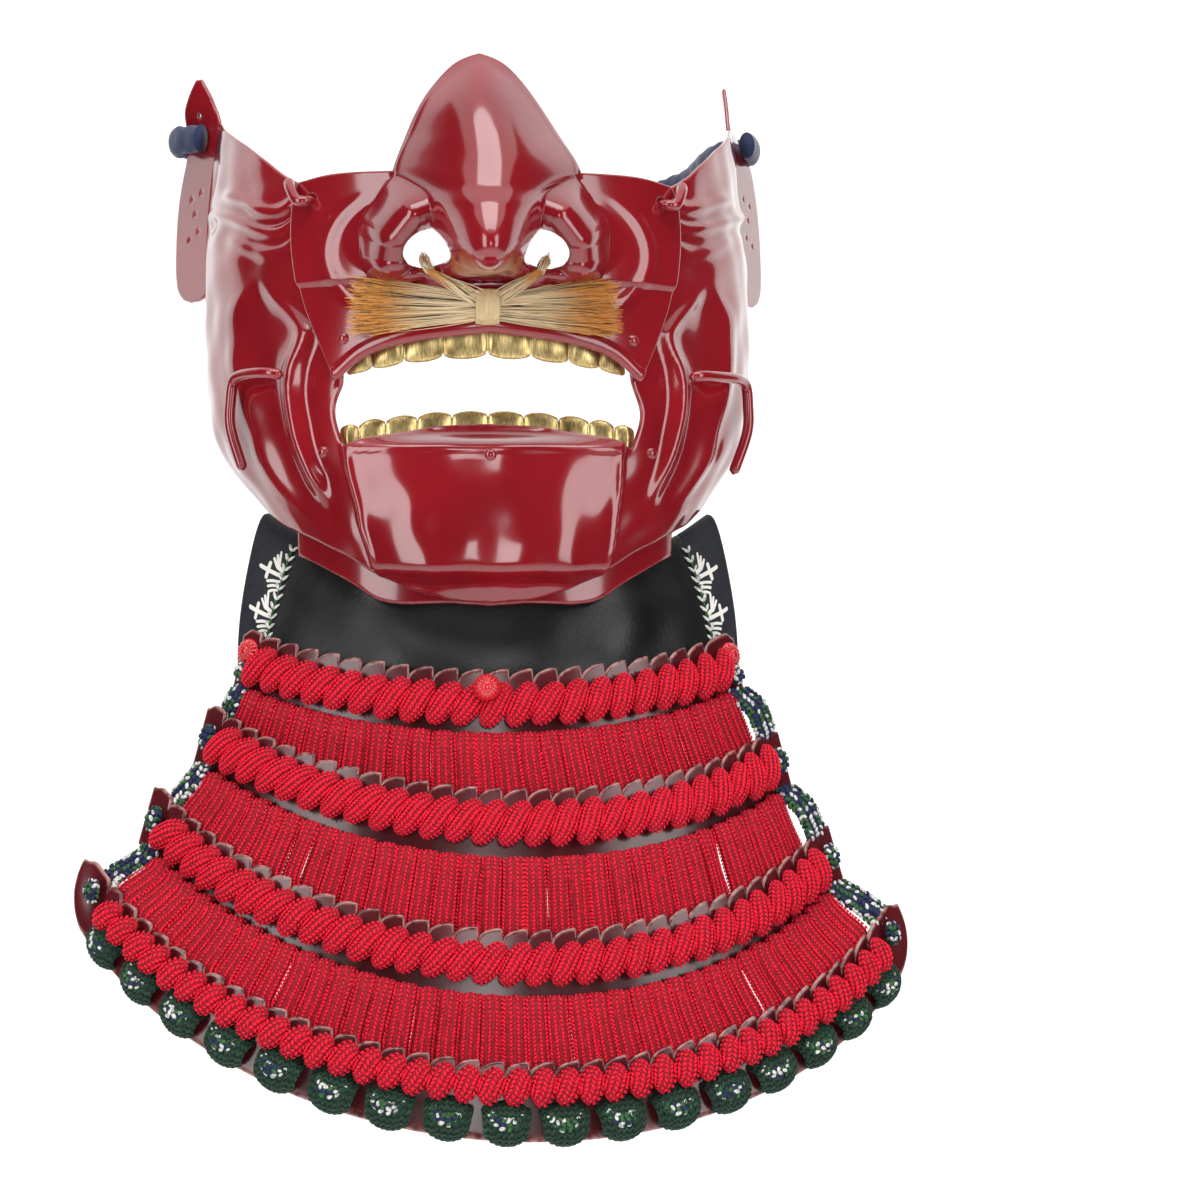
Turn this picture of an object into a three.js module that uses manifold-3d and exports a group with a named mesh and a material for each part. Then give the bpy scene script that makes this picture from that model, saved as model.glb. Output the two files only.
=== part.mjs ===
// Samurai face guard (menpo) with its laced throat guard (yodarekake).
// Millimetres, +Z up. The face looks along -Y, +X is the viewer's right.
// The origin is the inner face of the chin, where the wearer's chin rests.

import * as THREE from "three";
import { mergeVertices } from "three/addons/utils/BufferGeometryUtils.js";
import Module from "manifold-3d";

const wasm = await Module();
wasm.setup();

// ---- Driving dimensions ----

const IRON = 1.3; // lacquered iron plate
const LEATHER = 1.6;
const GAP = 0.3; // clearance between neighbouring pieces
const ROD = 3.2; // diameter of the hooks and of the cord stays
const LACE = 3.4; // thickness of the flat braided laces
const REAR = 139; // distance round the face from the chin's middle to the ear fold
const TOOTH_PITCH = 6.8; // one scale head on a lame
const TOOTH_SHARE = 0.17; // depth of a scale head, as a share of the lame's height

// The face as level sections: half width, front and rear y, and how square the front corner is.
const FACE = [
  { z: -30, half: 50, front: 0.5, rear: 48, square: 0.74 },
  { z: -15, half: 58, front: -1.6, rear: 53, square: 0.74 },
  { z: 0, half: 67.5, front: -1.4, rear: 61, square: 0.72 },
  { z: 15, half: 78, front: -1.0, rear: 73, square: 0.68 },
  { z: 30, half: 82, front: -0.5, rear: 82, square: 0.64 },
  { z: 60, half: 84, front: 0, rear: 98, square: 0.6 },
  { z: 92, half: 83.5, front: 3, rear: 104, square: 0.58 },
  { z: 125, half: 80, front: 8, rear: 104, square: 0.56 },
];

// Outlines on the face, as distance a round the face and height z, from the middle outwards.
const JAW_RIM = [
  { at: 0, a: 0, z: -28.5 },
  { at: 0.15, a: 20, z: -27 },
  { at: 0.34, a: 46, z: -20.3 },
  { at: 0.45, a: 60, z: -14.8 },
  { at: 0.58, a: 79, z: -9.6 },
  { at: 0.72, a: 99, z: -5.8 },
  { at: 0.82, a: 114, z: 1 },
  { at: 0.92, a: 129, z: 17 },
  { at: 1, a: 137, z: 38 },
];
const LOWER_LIP = [
  { at: 0, a: 0, z: 21.5 },
  { at: 0.4, a: 17.6, z: 20.6 },
  { at: 0.8, a: 35.2, z: 17.4 },
  { at: 1, a: 44, z: 14.3 },
];
const WAIST = [
  { at: 0, a: 44, z: 14.3 },
  { at: 0.35, a: 78, z: 21 },
  { at: 0.7, a: 112, z: 34 },
  { at: 1, a: REAR, z: 50 },
];
const MOUTH_SIDE = [
  { at: 0, a: 44, z: 14.3 },
  { at: 0.15, a: 46.8, z: 25.7 },
  { at: 0.28, a: 43.2, z: 35 },
  { at: 0.42, a: 42.6, z: 45 },
  { at: 0.6, a: 46.5, z: 58 },
  { at: 0.8, a: 50, z: 74 },
  { at: 1, a: 51, z: 90.4 },
];
const CHEEK_TOP = [
  { at: 0, a: 51, z: 90.4 },
  { at: 0.1, a: 60, z: 91.3 },
  { at: 0.22, a: 70, z: 95.6 },
  { at: 0.33, a: 80, z: 101.2 },
  { at: 0.5, a: 95, z: 108 },
  { at: 0.84, a: 126, z: 118.6 },
  { at: 1, a: REAR, z: 121 },
];
const MOUTH_CORNER = 0.34; // place of the mouth's corner along JAW_RIM

// Ear flange, turned out from the rear edge: reach from the fold at each height.
const EAR = [
  { z: 66.3, inner: 5, outer: 11 },
  { z: 67.6, inner: -0.6, outer: 16 },
  { z: 72, inner: -0.6, outer: 20.4 },
  { z: 85, inner: -0.6, outer: 22 },
  { z: 100, inner: -0.6, outer: 22 },
  { z: 111, inner: -0.6, outer: 20 },
  { z: 120, inner: -0.6, outer: 16.6 },
  { z: 126, inner: 2.4, outer: 15.8 },
  { z: 131, inner: 4.8, outer: 12.6 },
  { z: 135.5, inner: 7.6, outer: 9.4 },
];
// How far each flange is bent out from the line of sight, in degrees, low down and at its tip.
const EAR_TURN = { left: { low: 29, tip: 54 }, right: { low: 24, tip: 0 } };

// Nose piece: outlines as for the shell.
const PLATE_LIP = [
  { at: 0, a: 0, z: 47.6 },
  { at: 0.5, a: 23, z: 44.6 },
  { at: 0.8, a: 35.5, z: 40.8 },
  { at: 1, a: 44, z: 34.6 },
];
const PLATE_SIDE = [
  { at: 0, a: 44, z: 34.6 },
  { at: 0.12, a: 47.6, z: 41.4 },
  { at: 0.4, a: 55.4, z: 57.6 },
  { at: 0.68, a: 58.9, z: 72.4 },
  { at: 0.9, a: 59, z: 85 },
  { at: 1, a: 57, z: 90.6 },
];
const PLATE_WING = [
  { at: 0, a: 26, z: 91.6 },
  { at: 0.6, a: 45, z: 91.9 },
  { at: 1, a: 57, z: 90.6 },
];
const NOSE_OUTLINE = [
  { at: 0, a: 0, z: 124.6 },
  { at: 0.2, a: 7, z: 121.6 },
  { at: 0.4, a: 12.8, z: 115.6 },
  { at: 0.62, a: 18.4, z: 106.8 },
  { at: 0.82, a: 22.8, z: 98.4 },
  { at: 1, a: 26, z: 91.6 },
];
const NOSE_SHARE = 0.52; // part of the plate's width that runs up into the nose
// Ridge of the nose: how far it stands out, and its half width, at each height.
const NOSE = [
  { z: 61, out: 0, half: 12 },
  { z: 66, out: 17, half: 13 },
  { z: 70, out: 29, half: 14.5 },
  { z: 75, out: 36, half: 16.5 },
  { z: 80, out: 36.5, half: 18 },
  { z: 86, out: 32.5, half: 21 },
  { z: 92, out: 27.5, half: 26 },
  { z: 102, out: 20.5, half: 21.6 },
  { z: 112, out: 13, half: 16.4 },
  { z: 120, out: 5.5, half: 9.4 },
  { z: 124.6, out: 0, half: 4 },
];
const NOSE_ROUND = 0.4; // roundness of the ridge, as a share of the half width
const NOSE_DROOP = 0.3; // downward hook of the tip for each mm that it stands out
const NOSE_LEAN = { foot: -1.4, top: -2.8 }; // sideways set of the nose
// Wing of the nostril: an arch of centres with its own reach and height.
const NOSTRIL_WING = [
  { a: 12, z: 84, out: 13, reach: 9.6 },
  { a: 20, z: 82, out: 16, reach: 10 },
  { a: 25, z: 75.5, out: 14, reach: 9.4 },
  { a: 25.4, z: 68, out: 9.5, reach: 8.6 },
  { a: 22, z: 63, out: 4.5, reach: 7.4 },
];
const NOSTRIL = { a: 16, z: 70.6, wide: 7.2, high: 7 };

// Lames of the throat guard, top to bottom: an arc each for the top and the bottom edge.
// mid* is the middle of the arc, end* its ends; tilt and sway are how the guard hangs.
const LAMES = [
  {
    top: { midY: -2, midZ: -47.8, endX: 70, endY: 28, endZ: -37 },
    bottom: { midY: -5, midZ: -70, endX: 73.8, endY: 27, endZ: -55.8 },
    tilt: 0.5, sway: 1.3, belly: 0, teeth: 0.92, ropeAt: 0.44, ropeHigh: 4.7,
  },
  {
    top: { midY: -11, midZ: -80.4, endX: 81.5, endY: 26, endZ: -61.2 },
    bottom: { midY: -16, midZ: -104, endX: 86.2, endY: 24, endZ: -80 },
    tilt: 2.6, sway: 2.6, belly: 0, teeth: 0.925, ropeAt: 0.4, ropeHigh: 4.8,
  },
  {
    top: { midY: -23, midZ: -117.8, endX: 96, endY: 21, endZ: -86 },
    bottom: { midY: -27, midZ: -140, endX: 100.6, endY: 19, endZ: -103 },
    tilt: 3.6, sway: 2.2, belly: 0, teeth: 0.93, ropeAt: 0.41, ropeHigh: 4.4,
  },
  {
    top: { midY: -34, midZ: -152.2, endX: 114.4, endY: 14, endZ: -106.6 },
    bottom: { midY: -37, midZ: -172, endX: 116.4, endY: 12, endZ: -127.6 },
    tilt: 3.6, sway: 2.2, belly: 2.6, teeth: 0.92, ropeAt: 0.31, ropeHigh: 3.2,
  },
];
const ROPE = { deep: 2.9, reach: 0.9 };
const HEM_KNOTS = 17;
const HEM_KNOT = { wide: 12, above: 9.4, below: 1.4, deep: 4.6, span: 0.915 };

// ---- Colours ----

const FINISH = {
  lacquer: { color: 0x8c1118, roughness: 0.12, metalness: 0.1 },
  lame_lacquer: { color: 0x5e1618, roughness: 0.25, metalness: 0.1 },
  gold: { color: 0xc9a85a, roughness: 0.35, metalness: 1 },
  stud: { color: 0xd2121a, roughness: 0.35, metalness: 0 },
  leather: { color: 0x15161a, roughness: 0.45, metalness: 0 },
  band: { color: 0x1b2030, roughness: 0.6, metalness: 0 },
  red_braid: { color: 0xc8102a, roughness: 0.85, metalness: 0 },
  mixed_braid: { color: 0x5a7068, roughness: 0.9, metalness: 0 },
  green_braid: { color: 0x15381f, roughness: 0.9, metalness: 0 },
  navy: { color: 0x1c2a50, roughness: 0.9, metalness: 0 },
  hair: { color: 0xc79a56, roughness: 0.7, metalness: 0 },
};

// ---- Curves through tables ----

// Smooth value of one column at x, where key is the column that x runs along.
function smooth(rows, key, name, x) {
  const last = rows.length - 1;
  const at = THREE.MathUtils.clamp(x, rows[0][key], rows[last][key]);
  let i = 0;
  while (i < last - 1 && at > rows[i + 1][key]) i += 1;
  const slope = (k) => {
    const before = rows[Math.max(0, k - 1)];
    const after = rows[Math.min(last, k + 1)];
    return (after[name] - before[name]) / (after[key] - before[key]);
  };
  const span = rows[i + 1][key] - rows[i][key];
  const u = (at - rows[i][key]) / span;
  const [uu, uuu] = [u * u, u * u * u];
  return (
    (2 * uuu - 3 * uu + 1) * rows[i][name] +
    (uuu - 2 * uu + u) * span * slope(i) +
    (3 * uu - 2 * uuu) * rows[i + 1][name] +
    (uuu - uu) * span * slope(i + 1)
  );
}

const onOutline = (rows, at) => ({
  a: smooth(rows, "at", "a", at),
  z: smooth(rows, "at", "z", at),
});
const ease = (low, high, x) => THREE.MathUtils.smoothstep(x, low, high);
const hump = (x, width) => Math.exp(-((x / width) ** 2));
const mix = THREE.MathUtils.lerp;

// A patch between four outlines that meet at their ends (a Coons patch), in a and z.
function patch(bottom, top, left, right) {
  return (s, v) => {
    const [b, t, l, r] = [bottom(s), top(s), left(v), right(v)];
    const [b0, b1, t0, t1] = [bottom(0), bottom(1), top(0), top(1)];
    const blend = (k) =>
      mix(b[k], t[k], v) + mix(l[k], r[k], s) - mix(mix(b0[k], b1[k], s), mix(t0[k], t1[k], s), v);
    return { a: blend("a"), z: blend("z") };
  };
}

// ---- The face surface ----

const bezier = (p, q, r, s, t) =>
  (1 - t) ** 3 * p + 3 * (1 - t) ** 2 * t * q + 3 * (1 - t) * t * t * r + t ** 3 * s;

function section(t, z) {
  const half = smooth(FACE, "z", "half", z);
  const front = smooth(FACE, "z", "front", z);
  const rear = smooth(FACE, "z", "rear", z);
  const square = smooth(FACE, "z", "square", z);
  const x = bezier(0, square * half, half, half, Math.abs(t));
  const y = bezier(front, front, (front + rear) / 2, rear, Math.abs(t));
  return new THREE.Vector3(Math.sign(t) * x, y, z);
}

// Distance round the face at mid height, as a table from the middle to the rear edge.
const MEASURED_AT = 50;
const ROUND_STEPS = 200;
const round = [0];
for (let i = 1; i <= ROUND_STEPS; i += 1) {
  const before = section((i - 1) / ROUND_STEPS, MEASURED_AT);
  round.push(round[i - 1] + section(i / ROUND_STEPS, MEASURED_AT).distanceTo(before));
}

function facePoint(a, z) {
  const far = Math.min(Math.abs(a), round[ROUND_STEPS] - 1e-6);
  let i = Math.floor((far / round[ROUND_STEPS]) * ROUND_STEPS);
  while (round[i] > far) i -= 1;
  while (round[i + 1] < far) i += 1;
  const t = (i + (far - round[i]) / (round[i + 1] - round[i])) / ROUND_STEPS;
  return section(Math.sign(a) * Math.max(t, 1e-9), z);
}

function faceNormal(a, z) {
  const across = facePoint(a + 0.5, z).sub(facePoint(a - 0.5, z));
  const upward = facePoint(a, z + 0.5).sub(facePoint(a, z - 0.5));
  return across.cross(upward).normalize();
}

const offFace = (a, z, out) => facePoint(a, z).addScaledVector(faceNormal(a, z), out);

// How far the lower lip's shelf runs back.
const lipShelf = (a) => 10.5 * Math.max(0, 1 - (a / 43) ** 2);

// Relief of the shell: chin box, lower lip shelf, cheek pad, smile ridge and wrinkles.
function shellRelief(a, z) {
  const side = Math.abs(a);
  const chinEdge = mix(35, 41.5, ease(-18, 14, z));
  const chin = 2.4 * (1 - ease(chinEdge - 1.6, chinEdge + 1.6, side)) * ease(-24, -17, z);
  const chinJut = 4 * (1 - ease(20, 46, side)) * ease(-30, -18, z) * (1 - ease(-20, 16, z));
  const shelf = lipShelf(side) * ease(14.6, 21, z);
  const padCentre = 76 - 0.0035 * (z - 36) ** 2;
  const padFront = ease(padCentre - 15, padCentre - 6, side);
  const pad = 3 * padFront * (1 - ease(padCentre + 8, padCentre + 12, side));
  const padHeight = ease(-4, 18, z) * (1 - ease(52, 68, z));
  const ridgeAt = 59.4 - 0.003 * (z - 30) ** 2;
  const ridge = 2.6 * hump(side - ridgeAt, 3.2) * ease(0, 12, z) * (1 - ease(42, 52, z));
  const wave = 84 + 3 * Math.sin((side - 66) / 11);
  const wrinkles = 1.3 * (hump(z - wave, 2.2) + hump(z - wave - 8, 2.2));
  const creased = wrinkles * ease(60, 70, side) * (1 - ease(124, 134, side));
  return chin + chinJut - shelf + pad * padHeight + ridge + creased;
}

// The larger of two heights, rounded where they meet.
function softMax(p, q, width) {
  const share = Math.max(0, 1 - Math.abs(p - q) / width);
  return Math.max(p, q) + (share * share * width) / 4;
}

// Relief of the nose piece above the face.
function wingHeight(a, z) {
  let best = 0;
  NOSTRIL_WING.slice(1).forEach((to, i) => {
    const from = NOSTRIL_WING[i];
    const [da, dz] = [to.a - from.a, to.z - from.z];
    const share = ((a - from.a) * da + (z - from.z) * dz) / (da * da + dz * dz);
    const t = THREE.MathUtils.clamp(share, 0, 1);
    const away = Math.hypot(a - from.a - da * t, z - from.z - dz * t) / mix(from.reach, to.reach, t);
    best = Math.max(best, mix(from.out, to.out, t) * Math.max(0, 1 - away * away) ** 1.5);
  });
  return best;
}

function noseRelief(a, z) {
  const across = Math.abs(a - NOSE_LEAN.foot * (1 - ease(86, 96, z)));
  const u = across / smooth(NOSE, "z", "half", z);
  const slant = Math.hypot(1, NOSE_ROUND) - NOSE_ROUND;
  const arch = 1 - (Math.hypot(u, NOSE_ROUND) - NOSE_ROUND) / slant;
  const flare = 0.16 * (1 - ease(88, 96, z)) + 0.001;
  const body = Math.max(0, smooth(NOSE, "z", "out", z)) * softMax(arch, 0, flare);
  const fold = 1.6 * (1 - ease(0.84, 1.1, Math.hypot(across / 37, (z - 73) / 15.5)));
  return softMax(body, wingHeight(across, z), 5) * ease(60.5, 63, z) + fold;
}

function nosePoint(a, z) {
  const out = noseRelief(a, z);
  const along = Math.min(out, 3);
  const point = offFace(a, z, IRON + GAP + along);
  const hook = NOSE_DROOP * (1 - ease(84, 112, z));
  const lean = NOSE_LEAN.top * ease(84, 114, z);
  return point.add(new THREE.Vector3(lean, along - out, (along - out) * hook));
}

// ---- Mesh helpers ----

// Turns a triangle list into a manifold solid, facing out.
function solid(points, triangles) {
  const geometry = new THREE.BufferGeometry();
  const numbers = points.flatMap((p) => [p.x, p.y, p.z]);
  geometry.setAttribute("position", new THREE.Float32BufferAttribute(numbers, 3));
  geometry.setIndex(triangles.flat());
  return fromGeometry(geometry);
}

function fromGeometry(geometry) {
  const bare = new THREE.BufferGeometry();
  bare.setAttribute("position", geometry.getAttribute("position"));
  bare.setIndex(geometry.index);
  const merged = mergeVertices(bare, 1e-4);
  const vertProperties = merged.attributes.position.array;
  const build = (triVerts) => new wasm.Manifold(new wasm.Mesh({ numProp: 3, vertProperties, triVerts }));
  const indices = new Uint32Array(merged.index.array);
  const made = build(indices);
  if (made.volume() > 0) return made;
  for (let i = 0; i < indices.length; i += 3)
    [indices[i + 1], indices[i + 2]] = [indices[i + 2], indices[i + 1]];
  return build(indices);
}

const split = (a, b, c, d) => [[a, b, c], [a, c, d]];

// A wall: quads given a thickness, outwards for outside and inwards for inside.
function wall(points, quads, outside, inside) {
  const normals = points.map(() => new THREE.Vector3());
  quads.forEach(([a, b, c, d]) => {
    const face = points[c].clone().sub(points[a]).cross(points[d].clone().sub(points[b]));
    [a, b, c, d].forEach((corner) => normals[corner].add(face));
  });
  const count = points.length;
  const outer = points.map((p, i) => p.clone().addScaledVector(normals[i].normalize(), outside));
  const inner = points.map((p, i) => p.clone().addScaledVector(normals[i], -inside));
  const triangles = [];
  const edges = new Map();
  quads.forEach(([a, b, c, d]) => {
    triangles.push(...split(a, b, c, d), ...split(d + count, c + count, b + count, a + count));
    [[a, b], [b, c], [c, d], [d, a]].forEach(([from, to]) => {
      if (!edges.delete(`${to},${from}`)) edges.set(`${from},${to}`, [from, to]);
    });
  });
  edges.forEach(([from, to]) => triangles.push(...split(to, from, from + count, to + count)));
  return solid([...outer, ...inner], triangles);
}

// A rectangular grid of points and its quads.
function grid(columns, rows, place) {
  const points = [];
  const quads = [];
  for (let j = 0; j <= rows; j += 1)
    for (let i = 0; i <= columns; i += 1) points.push(place(i / columns, j / rows, i, j));
  const index = (i, j) => j * (columns + 1) + i;
  for (let j = 0; j < rows; j += 1)
    for (let i = 0; i < columns; i += 1)
      quads.push([index(i, j), index(i + 1, j), index(i + 1, j + 1), index(i, j + 1)]);
  return { points, quads };
}

// A closed body through rings of points, capped at both ends.
function loft(rings) {
  const size = rings[0].length;
  const points = rings.flat();
  const triangles = [];
  for (let r = 0; r + 1 < rings.length; r += 1)
    for (let i = 0; i < size; i += 1) {
      const next = (i + 1) % size;
      triangles.push(...split(r * size + i, r * size + next, (r + 1) * size + next, (r + 1) * size + i));
    }
  const start = points.length;
  const middle = (ring) => ring.reduce((sum, p) => sum.add(p), new THREE.Vector3()).divideScalar(size);
  points.push(middle(rings[0]), middle(rings[rings.length - 1]));
  const lastRing = (rings.length - 1) * size;
  for (let i = 0; i < size; i += 1) {
    const next = (i + 1) % size;
    triangles.push([start, next, i], [start + 1, lastRing + i, lastRing + next]);
  }
  return solid(points, triangles);
}

// An oval ring of points about a centre.
function oval(centre, first, second, sides) {
  return Array.from({ length: sides }, (_, i) => {
    const angle = (2 * Math.PI * i) / sides;
    return centre.clone().addScaledVector(first, Math.cos(angle)).addScaledVector(second, Math.sin(angle));
  });
}

// A round rod along a smooth line.
function rod(points, diameter, steps) {
  const shape = new THREE.Shape();
  shape.absarc(0, 0, diameter / 2, 0, 2 * Math.PI);
  const extrudePath = new THREE.CatmullRomCurve3(points, false, "centripetal");
  const settings = { steps, curveSegments: 4, extrudePath, bevelEnabled: false };
  return fromGeometry(new THREE.ExtrudeGeometry(shape, settings));
}

// A dome turned about an axis through place, looking along outward.
function dome(place, outward, radius, height, sides) {
  const profile = [
    new THREE.Vector2(0, 0),
    new THREE.Vector2(radius, 0),
    new THREE.Vector2(radius * 0.86, height * 0.55),
    new THREE.Vector2(radius * 0.5, height * 0.9),
    new THREE.Vector2(0, height),
  ];
  const geometry = new THREE.LatheGeometry(profile, sides);
  const turn = new THREE.Quaternion().setFromUnitVectors(new THREE.Vector3(0, 1, 0), outward);
  geometry.applyQuaternion(turn).translate(place.x, place.y, place.z);
  return fromGeometry(geometry);
}

// A rounded lump with three half sizes.
function lump(centre, across, upward, outward) {
  const geometry = new THREE.SphereGeometry(1, 8, 6);
  geometry.applyMatrix4(new THREE.Matrix4().makeBasis(across, upward, outward).setPosition(centre));
  return fromGeometry(geometry);
}

const guard = new THREE.Group();

function piece(name, shape, finish) {
  const made = shape.getMesh();
  const geometry = new THREE.BufferGeometry();
  const positions = new Float32Array(made.numVert * 3);
  for (let i = 0; i < made.numVert; i += 1)
    positions.set(made.vertProperties.subarray(i * made.numProp, i * made.numProp + 3), i * 3);
  geometry.setAttribute("position", new THREE.BufferAttribute(positions, 3));
  geometry.setIndex(new THREE.BufferAttribute(new Uint32Array(made.triVerts), 1));
  geometry.computeVertexNormals();
  const mesh = new THREE.Mesh(geometry, new THREE.MeshStandardMaterial({ ...finish }));
  mesh.name = name;
  guard.add(mesh);
}

const SIDES = [
  { name: "left", sign: -1 },
  { name: "right", sign: 1 },
];

// ---- Mask shell: cheeks, chin and ear flanges in one iron plate ----

const BAND = { rows: 6, lipColumns: 6 };
const CHEEK = { columns: 11, rows: 8 };

function shellHalf(sign) {
  const points = [];
  const quads = [];
  const add = ({ a, z }) => points.push(offFace(sign * a, z, shellRelief(a, z))) - 1;
  const quad = (...corners) => quads.push(sign > 0 ? corners : corners.reverse());
  const waist = (s) => onOutline(WAIST, s);
  const jawCorner = onOutline(JAW_RIM, MOUTH_CORNER);
  const chin = patch(
    (s) => onOutline(JAW_RIM, s * MOUTH_CORNER),
    (s) => onOutline(LOWER_LIP, s),
    (v) => ({ a: 0, z: mix(JAW_RIM[0].z, LOWER_LIP[0].z, v) }),
    (v) => ({ a: mix(jawCorner.a, 44, v), z: mix(jawCorner.z, 14.3, v) }),
  );
  const jaw = patch(
    (s) => onOutline(JAW_RIM, mix(MOUTH_CORNER, 1, s)),
    waist,
    (v) => chin(1, v),
    (v) => ({ a: mix(137, REAR, v), z: mix(38, 50, v) }),
  );
  const cheek = patch(
    waist,
    (s) => onOutline(CHEEK_TOP, s),
    (v) => onOutline(MOUTH_SIDE, v),
    (v) => ({ a: REAR, z: mix(50, 121, v) }),
  );
  const belt = [];
  for (let j = 0; j <= BAND.rows; j += 1) {
    const v = 1 - (1 - j / BAND.rows) ** 1.15;
    const row = [];
    for (let i = 0; i <= BAND.lipColumns; i += 1) row.push(add(chin(i / BAND.lipColumns, v)));
    for (let i = 1; i <= CHEEK.columns; i += 1) row.push(add(jaw(i / CHEEK.columns, v)));
    belt.push(row);
  }
  const upper = [belt[BAND.rows].slice(BAND.lipColumns)];
  for (let j = 1; j <= CHEEK.rows; j += 1) {
    const row = [];
    for (let i = 0; i <= CHEEK.columns; i += 1) row.push(add(cheek(i / CHEEK.columns, j / CHEEK.rows)));
    upper.push(row);
  }
  [belt, upper].forEach((rows) => {
    for (let j = 0; j + 1 < rows.length; j += 1)
      for (let i = 0; i + 1 < rows[j].length; i += 1)
        quad(rows[j][i], rows[j][i + 1], rows[j + 1][i + 1], rows[j + 1][i]);
  });
  return { points, quads };
}

// Both halves share their middle column.
function joinHalves(left, right) {
  const points = [...right.points];
  const moved = left.points.map((p) => {
    const same = Math.abs(p.x) < 1e-6 ? points.findIndex((q) => q.distanceTo(p) < 1e-4) : -1;
    return same >= 0 ? same : points.push(p) - 1;
  });
  return { points, quads: [...right.quads, ...left.quads.map((q) => q.map((corner) => moved[corner]))] };
}

function earPoint(side, z, reach) {
  const bend = EAR_TURN[side.name];
  const turn = THREE.MathUtils.degToRad(mix(bend.low, bend.tip, ease(110, 136, z)));
  const root = facePoint(side.sign * REAR, z);
  return root.add(new THREE.Vector3(side.sign * Math.sin(turn) * reach, Math.cos(turn) * reach, 0));
}

function ear(side) {
  const rows = 14;
  const { points, quads } = grid(3, rows, (s, v) => {
    const z = mix(EAR[0].z, EAR[EAR.length - 1].z, v ** 1.1);
    const reach = mix(smooth(EAR, "z", "inner", z), smooth(EAR, "z", "outer", z), s);
    return earPoint(side, z, reach);
  });
  const facing = side.sign > 0 ? quads : quads.map((q) => [...q].reverse());
  return wall(points, facing, IRON / 2, IRON / 2);
}

const RIVET = { radius: 1.7, height: 1.3 };
const SHELL_RIVETS = [
  { a: -51.6, z: 13.8 },
  { a: 51.6, z: 13.8 },
  { a: 0, z: 12.4 },
];
const LIP_RIVETS = [
  { a: -41.4, z: 45.4 },
  { a: 41.4, z: 45.4 },
];

const halves = joinHalves(shellHalf(-1), shellHalf(1));
let shell = wall(halves.points, halves.quads, 0, IRON);
SIDES.forEach((side) => (shell = shell.add(ear(side))));
SHELL_RIVETS.forEach(({ a, z }) => {
  const sunk = 0.6;
  const place = offFace(a, z, shellRelief(a, z) - sunk);
  shell = shell.add(dome(place, faceNormal(a, z), RIVET.radius, RIVET.height + sunk, 8));
});
piece("mask_shell", shell, FINISH.lacquer);

// ---- Nose piece: a plate over the cheeks with the nose, its wings and the upper lip ----

const NOSE_GRID = { columns: 28, rows: 20 };

function nosePatch(s, v) {
  const away = Math.abs(s);
  const top = away < NOSE_SHARE
    ? onOutline(NOSE_OUTLINE, away / NOSE_SHARE)
    : onOutline(PLATE_WING, (away - NOSE_SHARE) / (1 - NOSE_SHARE));
  const bottom = onOutline(PLATE_LIP, away);
  const side = onOutline(PLATE_SIDE, v);
  const corner = { low: PLATE_SIDE[0], high: PLATE_SIDE[PLATE_SIDE.length - 1] };
  const a = mix(bottom.a, top.a, v) + away * (side.a - mix(corner.low.a, corner.high.a, v));
  const z = mix(bottom.z, top.z, v) + away * (side.z - mix(corner.low.z, corner.high.z, v));
  return { a: Math.sign(s) * a, z };
}

// Distance of a point on the plate from the nostril's outline, as a share of its size.
function inNostril(a, z) {
  const across = Math.abs(a - NOSE_LEAN.foot) - NOSTRIL.a;
  return Math.hypot(across / NOSTRIL.wide, (z - NOSTRIL.z) / NOSTRIL.high);
}

function nosePiece() {
  const flat = [];
  const { points, quads } = grid(NOSE_GRID.columns, NOSE_GRID.rows, (i, j) => {
    const place = nosePatch(2 * i - 1, j);
    flat.push(place);
    return nosePoint(place.a, place.z);
  });
  const open = quads.filter((q) => {
    const mean = (key) => q.reduce((sum, k) => sum + flat[k][key] / 4, 0);
    return inNostril(mean("a"), mean("z")) > 1;
  });
  return wall(points, open, IRON, 0);
}

let nose = nosePiece();
LIP_RIVETS.forEach(({ a, z }) => {
  const place = offFace(a, z, IRON + GAP + IRON - 0.6);
  nose = nose.add(dome(place, faceNormal(a, z), RIVET.radius, RIVET.height + 0.6, 8));
});
piece("nose_piece", nose, FINISH.lacquer);

// ---- Hooks that hold the nose piece, and the rods that steady the helmet cord ----

const HOOK_LINE = [
  { a: 52.2, z: 86.6, out: 5.5 },
  { a: 52.7, z: 84.6, out: 7 },
  { a: 54.6, z: 85, out: 7.6 },
  { a: 57.8, z: 88.8, out: 6.6 },
  { a: 60.2, z: 91.6, out: 5 },
];
const STAY_LINE = [
  { a: 61.5, z: 35.6, out: 6 },
  { a: 65, z: 36, out: 6.4 },
  { a: 76, z: 36.3, out: 6.4 },
  { a: 84, z: 36, out: 6 },
  { a: 87.4, z: 34.6, out: 6 },
  { a: 89.4, z: 30, out: 6 },
  { a: 91.6, z: 22, out: 5.8 },
  { a: 94.4, z: 10.6, out: 4.6 },
];
const STAY_SHIFT = { left: -5, right: 5 }; // the two rods aren't quite a pair

SIDES.forEach(({ name, sign }) => {
  const line = (rows, shift) =>
    rows.map(({ a, z, out }, i) => offFace(sign * (a + (i > 1 ? shift : 0)), z, out));
  piece(`nose_hook_${name}`, rod(line(HOOK_LINE, 0), ROD, 7), FINISH.lacquer);
  piece(`cord_stay_${name}`, rod(line(STAY_LINE, STAY_SHIFT[name]), ROD, 12), FINISH.lacquer);
});

// ---- Teeth: a gilt strip behind each lip ----

const UPPER_TEETH = [-44, -35.6, -25.4, -13.6, -0.6, 12.4, 24, 34, 43];
const LOWER_TEETH = [-46.6, -40.4, -32.4, -22.6, -11.6, 0, 11.4, 22.6, 32.2, 39.6, 46.4];

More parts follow.
